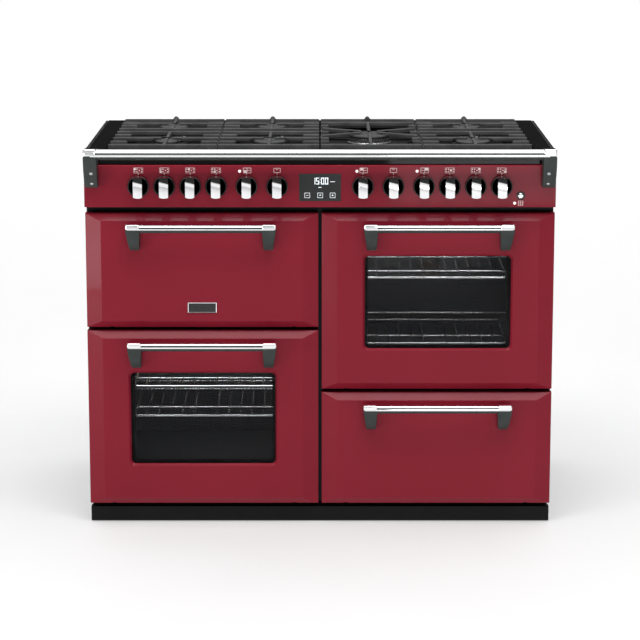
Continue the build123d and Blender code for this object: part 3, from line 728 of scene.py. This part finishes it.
skirt = turned("skirt", [
    (KNOB_R, -SKIRT_BACK), (KNOB_R, -SKIRT_FRONT - 1.2 * MM), (KNOB_R - 1.2 * MM, -SKIRT_FRONT),
    (KNOB_R - 2.4 * MM, -SKIRT_FRONT), (KNOB_R - 3 * MM, -SKIRT_FRONT - 0.8 * MM),
], 72)
facing_front(skirt)
spindle = rod("spindle", (0, SKIRT_BACK, 0), (0, 40 * MM, 0), 4 * MM)
rim = turned("rim", [(KNOB_R - 1.1 * MM, -SKIRT_FRONT), (KNOB_R - 1.3 * MM, -SKIRT_FRONT + 0.5 * MM),
                     (KNOB_R - 2.1 * MM, -SKIRT_FRONT + 0.5 * MM), (KNOB_R - 2.3 * MM, -SKIRT_FRONT)], 72)
facing_front(rim)
grip = rod("grip", (0, GRIP_FRONT, 0), (0, SKIRT_FRONT, 0), GRIP_R, sides=96)
take(grip)
bpy.ops.object.mode_set(mode="EDIT")
for side in (-1, 1):
    bpy.ops.mesh.select_all(action="SELECT")
    bpy.ops.mesh.bisect(
        plane_co=(side * GRIP_HALF, 0, 0), plane_no=(side, 0, 0), use_fill=True, clear_outer=True
    )
lean = math.radians(GRIP_LEAN)
reach = Vector((math.cos(lean), 0, -math.sin(lean))) * 0.1
axis = Vector((0, GRIP_FRONT + GRIP_BOW, 0))
drum = rod("drum", axis - reach, axis + reach, GRIP_BOW, sides=200)
outward(grip)
modify(grip, "BOOLEAN", operation="INTERSECT", solver="EXACT", object=drum)
bpy.data.objects.remove(drum)
soften(grip, 1.2 * MM, 4, 35)
for piece in (skirt, spindle, rim):
    smooth(piece, 35)
skirt = joined("skirt", [skirt, spindle])
print("knob grip", [round(v * 1000, 1) for v in grip.dimensions], "mm")

# %% Twelve knobs
KNOBS = [f"knob_{number:02d}" for number in range(1, 13)]
for name in KNOBS:
    low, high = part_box(name)
    place = ((low.x + high.x) / 2, FRONT, (low.z + high.z) / 2)
    body_part = copy_of(skirt, f"{name}_skirt", place)
    ring_part = copy_of(rim, f"{name}_rim_ring", place)
    grip_part = copy_of(grip, f"{name}_grip", place)
    fit_out(body_part, name, GLOSS_BLACK)
    fit_out(ring_part, name, BRACKET)
    fit_out(grip_part, name, CHROME)
    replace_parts(body_part, name)
for piece in (skirt, rim, grip):
    bpy.data.objects.remove(piece)
print(len(KNOBS), "knobs")

# %% [markdown]
# ## Printed marks and lamps
# Small pictures above the knobs say what each one does: a hob plan with one burner marked, or an oven
# plan. They are thin pads a fifth of a millimetre high. A neon sits beside each of the three
# thermostats.

# %% Marks above the knobs
PRINT_HEIGHT = 0.2 * MM


def pad(low_x, high_x, low_z, high_z):
    return block("pad", (low_x, FRONT - PRINT_HEIGHT, low_z), (high_x, FRONT, high_z))


def dot(x, z, radius):
    return rod("dot", (x, FRONT - PRINT_HEIGHT, z), (x, FRONT, z), radius, sides=20)


def outline(low_x, high_x, low_z, high_z, line, strip=pad):
    """Four thin strips round a rectangle."""
    return [
        strip(low_x, high_x, low_z, low_z + line), strip(low_x, high_x, high_z - line, high_z),
        strip(low_x, low_x + line, low_z, high_z), strip(high_x - line, high_x, low_z, high_z),
    ]


MARK_Z, HALF_WIDE, HALF_TALL, LINE = 854 * MM, 11 * MM, 6.3 * MM, 1 * MM
HOB_PLAN = [
    (-0.72, 0.45), (-0.72, -0.45), (-0.26, 0.45), (-0.26, -0.45), (0.24, 0), (0.72, 0.45), (0.72, -0.45),
]
MARKED = {"knob_01": 0, "knob_02": 1, "knob_03": 2, "knob_04": 3, "knob_10": 4, "knob_11": 5, "knob_12": 6}
QUARTER = {"knob_05": (-1, -1), "knob_07": (-1, 1), "knob_09": (1, 1)}


def hob_mark(x, marked):
    """A plan of the hob: seven burners in a frame, with one of them drawn large."""
    marks = outline(x - HALF_WIDE, x + HALF_WIDE, MARK_Z - HALF_TALL, MARK_Z + HALF_TALL, LINE * 0.7)
    for number, (across, up) in enumerate(HOB_PLAN):
        radius = 2.6 * MM if number == marked else 1.4 * MM
        marks.append(dot(x + across * HALF_WIDE, MARK_Z + up * HALF_TALL, radius))
    return marks


def oven_mark(x, quarter):
    """A plan of the four compartments with one filled in."""
    marks = outline(x - HALF_WIDE + 3 * MM, x + HALF_WIDE, MARK_Z - HALF_TALL, MARK_Z + HALF_TALL, LINE)
    middle = x + 1.5 * MM
    marks.append(pad(middle - LINE / 2, middle + LINE / 2, MARK_Z - HALF_TALL, MARK_Z + HALF_TALL))
    marks.append(pad(x - HALF_WIDE + 3 * MM, x + HALF_WIDE, MARK_Z - LINE / 2, MARK_Z + LINE / 2))
    across, up = quarter
    low_x, high_x = sorted((middle + across * MM, middle + across * 8 * MM))
    low_z, high_z = sorted((MARK_Z + up * 0.6 * MM, MARK_Z + up * 5.4 * MM))
    marks.append(pad(low_x, high_x, low_z, high_z))
    return marks


marks = []
for name in KNOBS:
    low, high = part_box(name)
    x = (low.x + high.x) / 2
    if name in MARKED:
        marks += hob_mark(x, MARKED[name])
    elif name in QUARTER:
        marks += oven_mark(x, QUARTER[name])
    else:
        marks += outline(x - 8 * MM, x + 8 * MM, MARK_Z - 5.5 * MM, MARK_Z + 5.5 * MM, LINE)
        marks.append(pad(x - 2.5 * MM, x + 2.5 * MM, MARK_Z + 1.5 * MM, MARK_Z + 2.5 * MM))
    marks.append(pad(x - 0.5 * MM, x + 0.5 * MM, 843.5 * MM, 847.5 * MM))
marks = fit_out(joined("knob_marks", marks), "carcass", PRINT)
print("marks", len(marks.data.polygons), "faces")

# %% Neons beside the thermostats
lens = turned("lens", [(3.5 * MM, 0), (3.5 * MM, 0.6 * MM), (2.6 * MM, 1.4 * MM), (1.3 * MM, 1.8 * MM)], 32)
facing_front(lens)
smooth(lens, 60)
small = [(-187, 852), (86, 852), (226, 852), (454, 777)]
lenses = [copy_of(lens, "lens", (x * MM, FRONT, z * MM)) for x, z in small]
bpy.data.objects.remove(lens)
fit_out(joined("neon_lenses", lenses), "carcass", NEON)
print("neons", len(small))

# %% [markdown]
# ## Touch clock
# The clock is a dark glass panel with a four-digit display. Each digit is seven bars, and a bar is
# lit or left out, so four digits come from one small routine. Three keys are printed below.

# %% Clock panel
glass_low, glass_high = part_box("clock_module")
GLASS_TOP = glass_low.y
panel = block("clock_panel", (glass_low.x, GLASS_TOP, glass_low.z), (glass_high.x, FRONT, glass_high.z))
soften(panel, 0.5 * MM, 3)
housing = block("clock_housing", (-44 * MM, FRONT, 786 * MM), (44 * MM, glass_high.y, 842 * MM))
soften(housing, 1.5 * MM, 2)
fit_out(panel, "carcass", CLOCK_GLASS)
fit_out(housing, "carcass", GLOSS_BLACK)
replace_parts(panel, "clock_module")
print("clock panel", [round(v * 1000, 1) for v in panel.dimensions], "mm")

# %% Digits and keys
SEGMENTS = {"1": "bc", "5": "acdfg", "0": "abcdef"}
DIGIT_WIDE, DIGIT_TALL, STROKE = 7.2 * MM, 15.5 * MM, 1.7 * MM


def lit(low_x, high_x, low_z, high_z):
    return block("lit", (low_x, GLASS_TOP - 0.15 * MM, low_z), (high_x, GLASS_TOP, high_z))


def digit(figure, x, z):
    """The lit bars of one figure, drawn from its middle."""
    half, tall, s = DIGIT_WIDE / 2, DIGIT_TALL / 2, STROKE
    bars = {
        "a": (x - half, x + half, z + tall - s, z + tall),
        "d": (x - half, x + half, z - tall, z - tall + s),
        "g": (x - half, x + half, z - s / 2, z + s / 2), "b": (x + half - s, x + half, z, z + tall),
        "c": (x + half - s, x + half, z - tall, z), "f": (x - half, x - half + s, z, z + tall),
        "e": (x - half, x - half + s, z - tall, z),
    }
    return [lit(*bars[key]) for key in SEGMENTS[figure]]


shown = []
for figure, x in zip("1500", (-14.5, -5.6, 6.2, 15.4)):
    shown += digit(figure, x * MM, 829.2 * MM)
for z in (826, 832):
    shown.append(lit(-0.6 * MM, 1.0 * MM, (z - 0.8) * MM, (z + 0.8) * MM))
shown.append(lit(24 * MM, 35 * MM, 827 * MM, 828.2 * MM))
shown.append(lit(-4 * MM, 3.5 * MM, 813.7 * MM, 815 * MM))
for x in (-29.7, 0.5, 29.4):
    shown += outline((x - 6.2) * MM, (x + 6.2) * MM, 789.5 * MM, 801.5 * MM, 0.7 * MM, lit)
    shown.append(lit((x - 2.6) * MM, (x + 2.6) * MM, 795.1 * MM, 795.9 * MM))
shown.append(lit(29 * MM, 29.8 * MM, 792.9 * MM, 798.1 * MM))
shown.append(lit(0.1 * MM, 0.9 * MM, 795.5 * MM, 799 * MM))
shown = fit_out(joined("clock_figures", shown), "carcass", DIGITS)
print("clock figures", len(shown.data.polygons), "faces")

# %% [markdown]
# ## Ignition button and badge
# The ignition button is a small bright dome in a dark ring, and it moves on its own, so it rides on
# its own body while the ring stays on the fascia. The badge on the grill door is left blank.

# %% Button
low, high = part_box("ignition_button")
place = ((low.x + high.x) / 2, 0, (low.z + high.z) / 2)
radius, front, back = (high.x - low.x) / 2, low.y, high.y
deep = back - front
button = turned("ignition_dome", [
    (radius, 0), (radius, deep - 1.5 * MM), (radius * 0.9, deep - 0.5 * MM), (radius * 0.6, deep),
], 40)
facing_front(button)
settle(button, at=(place[0], back, place[2]))
smooth(button, 50)
fit_out(button, "ignition_button", CHROME)
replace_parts(button, "ignition_button")
collar = turned("ignition_collar", [
    (10 * MM, 0), (10 * MM, 1.4 * MM), (8.6 * MM, 2.2 * MM), (6.9 * MM, 1.6 * MM),
], 48)
facing_front(collar)
bore = rod("bore", (0, -0.05, 0), (0, 0.05, 0), radius + 0.4 * MM, sides=48)
cut(collar, bore)
settle(collar, at=(place[0], FRONT, place[2]))
smooth(collar, 30)
fit_out(collar, "carcass", GLOSS_BLACK)
spark = [pad((468 + x - 0.5) * MM, (468 + x + 0.5) * MM, 772.5 * MM, 781 * MM) for x in (-4, 0, 4)]
spark += outline(462 * MM, 474 * MM, 771 * MM, 782.5 * MM, 0.6 * MM)
fit_out(joined("ignition_mark", spark), "carcass", PRINT)
print("button", round(radius * 1000, 2), "mm radius")

# %% Blank badge
low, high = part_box("grill_door_panel")
badge_x, badge_low, badge_high = (low.x + high.x) / 2, 516 * MM, 540.5 * MM
frame_plate = block("badge_frame", (badge_x - 33.75 * MM, FRONT - 2.2 * MM, badge_low),
                    (badge_x + 33.75 * MM, FRONT, badge_high))
choose(frame_plate, "FACE", lambda middle, normal: normal.y < -0.9)
bpy.ops.mesh.inset(thickness=1.6 * MM, depth=0)
bpy.ops.transform.translate(value=(0, 0.8 * MM, 0))
let_go()
soften(frame_plate, 0.3 * MM, 2)
plate = block("badge_plate", (badge_x - 32 * MM, FRONT - 1.7 * MM, badge_low + 1.7 * MM),
              (badge_x + 32 * MM, FRONT - 0.5 * MM, badge_high - 1.7 * MM))
fit_out(frame_plate, "grill_door", CHROME)
fit_out(plate, "grill_door", GLOSS_BLACK)
print("badge", round(badge_high - badge_low, 4), "m tall")

# %% [markdown]
# ## Plinth return
# The plinth's top edge runs back as a narrow flange to the floor pan, so that nothing shows through
# the gap under the doors. It is a flat strip with a folded lip, and the lip gives it its stiffness.

# %% Fold the return
plinth_low, plinth_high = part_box("plinth")
pan_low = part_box("base_frame")[0]
RETURN_TOP, RETURN_THICK, LIP = plinth_high.z + 0.6 * MM, 1.2 * MM, 8 * MM
flange = block(
    "plinth_return", (plinth_low.x + 2 * MM, plinth_high.y - MM, RETURN_TOP - RETURN_THICK),
    (plinth_high.x - 2 * MM, pan_low.y + 12 * MM, RETURN_TOP),
)
edge = pan_low.y + 10 * MM
choose(flange, "FACE", lambda middle, normal: normal.y > 0.9)
extrude((0, RETURN_THICK, 0))
choose(flange, "FACE", lambda middle, normal: normal.z < -0.9 and middle.y > edge + 2 * MM)
extrude((0, 0, -LIP))
outward(flange)
soften(flange, 0.3 * MM, 2)
fit_out(flange, "carcass", SIDE_PAINT)
print("plinth return", [round(v, 3) for v in flange.dimensions])

# %% [markdown]
# ## Hob tray
# The tray is one deep pressing. A single face is drawn in to leave the rim, then pushed down for the
# well, and its outer edges are folded over. The front edge folds down further, behind the rail.

# %% Press the tray
low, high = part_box("hob_tray")
rim_z, well_z = high.z, 882 * MM
well_low, well_high = Vector((-503 * MM, FRONT + 34 * MM, 0)), Vector((503 * MM, FRONT + 552 * MM, 0))
let_go()
bpy.ops.mesh.primitive_plane_add(size=1, location=((low.x + high.x) / 2, (low.y + high.y) / 2, rim_z))
tray = bpy.context.object
tray.name = "hob_tray_pressing"
tray.scale = (high.x - low.x, high.y - low.y, 1)
edit_all(settle(tray))
middle = (well_low + well_high) / 2
shift = (middle.x - (low.x + high.x) / 2, middle.y - (low.y + high.y) / 2, 0)
margin = 30 * MM
bpy.ops.mesh.inset(thickness=margin)
bpy.ops.transform.translate(value=shift)
wide, deep = high.x - low.x - 2 * margin, high.y - low.y - 2 * margin
shrink = ((well_high.x - well_low.x) / wide, (well_high.y - well_low.y) / deep, 1)
scale_about((middle.x, middle.y, rim_z), shrink)
extrude((0, 0, well_z - rim_z))
scale_about((middle.x, middle.y, well_z), (0.996, 0.992, 1))
outer = (high.x - low.x) / 2 - MM


def is_rim_edge(centre, along):
    return abs(centre.x) > outer or centre.y < low.y + MM or centre.y > high.y - MM


def is_front_fold(centre, along):
    return centre.y < low.y + MM and centre.z < rim_z - 3 * MM and abs(along.x) > 0.1


choose(tray, "EDGE", is_rim_edge)
bpy.ops.mesh.extrude_edges_move(TRANSFORM_OT_translate={"value": (0, 0, -4 * MM)})
choose(tray, "EDGE", is_front_fold)
bpy.ops.mesh.extrude_edges_move(TRANSFORM_OT_translate={"value": (0, 0, low.z - rim_z + 4 * MM)})
outward(tray)
modify(tray, "SOLIDIFY", thickness=1.6 * MM, offset=-1)
soften(tray, 2.2 * MM, 3, 35)
fit_out(tray, "carcass", HOB)
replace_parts(tray, "hob_tray")
print("tray faces", len(tray.data.polygons))

# %% [markdown]
# ## Burners
# Each burner is a turned aluminium crown with gas ports round it and a matte enamelled cap on top.
# The ports are alternate side faces of the crown, inset and pushed in.

# %% One burner by radius
def crown(name, radius, ports):
    """The flange and crown, standing on z = 0."""
    top, neck = 14 * MM, radius - 2 * MM
    piece = turned(name, [
        (radius + MM, 0), (radius + MM, 2.4 * MM), (neck, 3.4 * MM), (neck, 11 * MM), (neck - 0.8 * MM, top),
    ], ports * 2)
    band = 7 * MM

    def is_port(middle, normal):
        turn = math.degrees(math.atan2(middle.y, middle.x)) % 360
        return abs(middle.z - band) < 3 * MM and abs(normal.z) < 0.3 and int(turn / (180 / ports)) % 2 == 0

    choose(piece, "FACE", is_port)
    bpy.ops.mesh.inset(thickness=0.5 * MM, depth=-1.6 * MM, use_individual=True)
    let_go()
    return smooth(outward(piece), 25)


def cap(name, radius):
    """The loose cap, 8 mm thick with a rounded edge, standing on z = 0."""
    piece = turned(name, [
        (radius - 3 * MM, 0), (radius - 0.5 * MM, 1.2 * MM), (radius, 3 * MM), (radius - 0.6 * MM, 5.6 * MM),
        (radius - 2.4 * MM, 7.2 * MM), (radius - 6 * MM, 7.9 * MM), (radius * 0.4, 8 * MM),
    ], 72)
    return smooth(piece, 50)


def electrode(x, y, z):
    """The spark plug beside a burner: a porcelain sleeve and its steel tip."""
    profile = [(3 * MM, 0), (3 * MM, 5 * MM), (2.2 * MM, 6 * MM), (2.2 * MM, 11 * MM)]
    sleeve = turned("electrode_sleeve", profile, 20)
    tip = rod("electrode_tip", (0, 0, 10 * MM), (0, 0, 14.5 * MM), 0.9 * MM, sides=12)
    return [settle(smooth(sleeve), at=(x, y, z)), settle(tip, at=(x, y, z))]


print("a burner is a crown, a cap and a spark plug")

# %% Seven burners
BURNERS = [
    (-366, 172, 29, 24), (-366, 452, 36, 30), (-120, 172, 40, 32), (-120, 452, 36, 30),
    (120, 290, 52, 44), (366, 172, 42, 34), (366, 452, 36, 30),
]
crowns, caps, sleeves, tips = [], [], [], []
for x, s, radius, ports in BURNERS:
    x, y, radius = x * MM, FRONT + s * MM, radius * MM
    crowns.append(settle(crown("burner_crown", radius, ports), at=(x, y, well_z)))
    caps.append(settle(cap("burner_cap", radius), at=(x, y, well_z + 14 * MM)))
    side = math.radians(-90 if radius > 50 * MM else -50)
    reach = radius + 4.5 * MM
    sleeve, tip = electrode(x + reach * math.cos(side), y + reach * math.sin(side), well_z)
    sleeves.append(sleeve)
    tips.append(tip)
crowns = fit_out(joined("burner_crowns", crowns), "carcass", ALUMINIUM)
caps = fit_out(joined("burner_enamel_caps", caps), "carcass", CAP_ENAMEL)
fit_out(joined("electrode_sleeves", sleeves), "carcass", PORCELAIN)
fit_out(joined("electrode_tips", tips), "carcass", WIRE)
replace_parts(crowns, "burner_heads")
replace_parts(caps, "burner_caps")
print("burners", len(BURNERS), "with", len(crowns.data.polygons), "faces")

# %% [markdown]
# ## Pan supports
# A pan support is one rough casting. You lay out its bars as blocks, weld them by remeshing at about
# two millimetres, and let the smoothing round the corners the way sand casting does.

# %% Bars of a support
RIB, RIB_LOW, FRAME_LOW, GRATE_TOP, FINGER_LOW = 10 * MM, 898 * MM, 887 * MM, 910 * MM, 905.5 * MM
GRATE_FRONT, GRATE_BACK, RAIL_WIDE = FRONT + 40 * MM, FRONT + 541 * MM, 12 * MM
ROWS = [GRATE_FRONT + RIB / 2 + k * (GRATE_BACK - GRATE_FRONT - RIB) / 8 for k in range(9)]


def rib(low_x, high_x, y):
    """A rib across the support, a little narrower at the top."""
    bar = block("rib", (low_x, y - RIB / 2, RIB_LOW), (high_x, y + RIB / 2, GRATE_TOP))
    choose(bar, "FACE", lambda middle, normal: normal.z > 0.9)
    scale_about((0, y, GRATE_TOP), (1, 0.72, 1))
    let_go()
    return bar


def finger(x, y, inner, outer, clear, turn):
    """A finger that reaches over a burner: full depth outside the cap and thin above it."""
    deep = block("finger", (clear + 7 * MM, -4 * MM, RIB_LOW), (outer, 4 * MM, GRATE_TOP))
    choose(deep, "FACE", lambda middle, normal: normal.x < -0.9)
    extrude((-5 * MM, 0, 0))
    scale_about((0, 0, GRATE_TOP), (1, 1, (GRATE_TOP - FINGER_LOW) / (GRATE_TOP - RIB_LOW)))
    extrude((inner - clear - 2 * MM, 0, 0))
    let_go()
    return settle(deep, at=(x, y, 0), turn=(0, 0, math.radians(turn)))


def lower_frame(low, high):
    """Two side rails on feet, and two cross rails."""
    bars = []
    for x in (low, high - RAIL_WIDE):
        bars.append(block("rail", (x, GRATE_FRONT, FRAME_LOW), (x + RAIL_WIDE, GRATE_BACK, RIB_LOW + MM)))
        for y in (GRATE_FRONT, GRATE_BACK - RAIL_WIDE):
            bars.append(block("foot", (x, y, well_z), (x + RAIL_WIDE, y + RAIL_WIDE, FRAME_LOW + MM)))
    for y in (GRATE_FRONT, GRATE_BACK - RAIL_WIDE):
        bars.append(block("cross", (low, y, FRAME_LOW), (high, y + RAIL_WIDE, RIB_LOW + MM)))
    return bars


def nib(x):
    """The round stop at the back, above a small foot."""
    near, far, level, radius = ROWS[8] - RIB / 2, ROWS[8] + RIB / 2, 911 * MM, 6 * MM
    stop = rod("nib", (x, near, level), (x, far, level), radius, sides=24)
    return [stop, block("nib_foot", (x - radius, near, 905 * MM), (x + radius, far, level))]


print("rib rows at y =", [round(row, 3) for row in ROWS])

# %% Cast one support
def cast(name, bars):
    """Welds the bars into one body and softens it like a casting."""
    piece = joined(f"{name}_casting", bars)
    modify(piece, "REMESH", mode="VOXEL", voxel_size=1.9 * MM, adaptivity=0)
    modify(piece, "SMOOTH", factor=0.5, iterations=3)
    modify(piece, "DECIMATE", ratio=0.45)
    smooth(piece, 60)
    fit_out(piece, name, IRON)
    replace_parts(piece, name)
    print(name, len(piece.data.polygons), "faces")
    return piece


def double_support(name, front_burner, rear_burner):
    box_low, box_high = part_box(name)
    low, high = box_low.x, box_high.x
    bars = lower_frame(low, high)
    bars += [rib(low, high, ROWS[k]) for k in (0, 4, 5, 8)]
    for k in (1, 3, 6, 7):
        bars += [rib(low, low + 40 * MM, ROWS[k]), rib(high - 40 * MM, high, ROWS[k])]
    fences = (ROWS[0], ROWS[4]), (ROWS[5], ROWS[8])
    for (x, s, radius, _), (before, after) in zip((front_burner, rear_burner), fences):
        x, y, radius = x * MM, FRONT + s * MM, radius * MM
        for turn, edge in zip((0, -90, 180, 90), (high - x, y - before, x - low, after - y)):
            bars.append(finger(x, y, 13 * MM, edge, radius, turn))
    bars += nib(front_burner[0] * MM)
    return cast(name, bars)


def wok_support(name, burner):
    box_low, box_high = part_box(name)
    low, high = box_low.x, box_high.x
    x, y, radius = burner[0] * MM, FRONT + burner[1] * MM, burner[2] * MM
    bars = lower_frame(low, high)
    bars += [rib(low, high, ROWS[k]) for k in (0, 7, 8)]
    for k in (1, 2, 4, 6):
        bars += [rib(low, low + 20 * MM, ROWS[k]), rib(high - 20 * MM, high, ROWS[k])]
    reach = (min(high - x, x - low) - 4 * MM) / math.cos(math.radians(32))
    for turn in (-32, 32, 148, 212):
        bars.append(finger(x, y, 22 * MM, reach, radius, turn))
    bars.append(finger(x, y, 22 * MM, y - ROWS[0], radius, -90))
    bars.append(finger(x, y, 22 * MM, ROWS[7] - y, radius, 90))
    bars += nib(x)
    return cast(name, bars)


# %% Four supports
double_support("pan_support_far_left", BURNERS[0], BURNERS[1])
double_support("pan_support_mid_left", BURNERS[2], BURNERS[3])
wok_support("pan_support_wok", BURNERS[4])
double_support("pan_support_far_right", BURNERS[5], BURNERS[6])
print("four supports over", len(BURNERS), "burners")

# %% [markdown]
# ## Inside the tall ovens
# Each tall oven has a lamp in its left wall, which glows faintly. A weak light inside each one stands
# in for the room light that falls in through the window, so that the shelves show.

# %% Oven lamps and a glint on the shelves
GLASS_PROFILE = [(22 * MM, 0), (22 * MM, 4 * MM), (17 * MM, 9 * MM), (8 * MM, 11 * MM)]
BEZEL_PROFILE = [(27 * MM, 0), (27 * MM, 2 * MM), (24 * MM, 3.5 * MM), (22.5 * MM, 3.5 * MM)]
lamps, bezels = [], []
for name in ("left_oven", "right_oven"):
    low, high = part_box(f"{name}_cavity")
    wall = (low.x + high.x) / 2 - 208.5 * MM
    at = Vector((wall, high.y - 120 * MM, (low.z + high.z) / 2 + 70 * MM))
    for pieces, profile in (lamps, GLASS_PROFILE), (bezels, BEZEL_PROFILE):
        piece = smooth(turned("lamp_piece", profile, 40))
        pieces.append(settle(piece, at=at, turn=(0, math.radians(90), 0)))
    middle = (low.x + high.x) / 2
    above_door = (middle, FRONT + 56 * MM, high.z - 45 * MM)
    soft_light(f"{name}_glint", above_door, (middle, 0.1, low.z), (0.34, 0.02), 0.5)
fit_out(joined("oven_lamp_glasses", lamps), "carcass", LAMP)
fit_out(joined("oven_lamp_bezels", bezels), "carcass", WIRE)
print("lamps at", [round(v, 3) for v in at])

# %% [markdown]
# ## Fixings on the back
# The rear sheet is held by three columns of five pan-head screws. One head is turned, its cross slot
# is cut, and it is copied to every place.

# %% Panel screws
head = turned("head", [(4 * MM, -1 * MM), (4 * MM, 1.2 * MM), (3 * MM, 2.2 * MM), (1.2 * MM, 2.6 * MM)], 24)
slot_a = block("slot", (-2.4 * MM, -0.5 * MM, 1.6 * MM), (2.4 * MM, 0.5 * MM, 4 * MM))
slot_b = block("slot", (-0.5 * MM, -2.4 * MM, 1.6 * MM), (0.5 * MM, 2.4 * MM, 4 * MM))
cut(head, slot_a, slot_b)
smooth(head, 30)
back_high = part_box("rear_panel")[1]
screws = []
for x in (-536, 0, 536):
    for z in (52, 250, 450, 700, 884):
        place = (x * MM, back_high.y, z * MM)
        twin = copy_of(head, "screw")
        screws.append(settle(twin, at=place, turn=(math.radians(-90), 0, 0)))
bpy.data.objects.remove(head)
screws = fit_out(joined("panel_screws", screws), "carcass", WIRE)
print("panel screws reach y =", round(max(v.co.y for v in screws.data.vertices), 4))
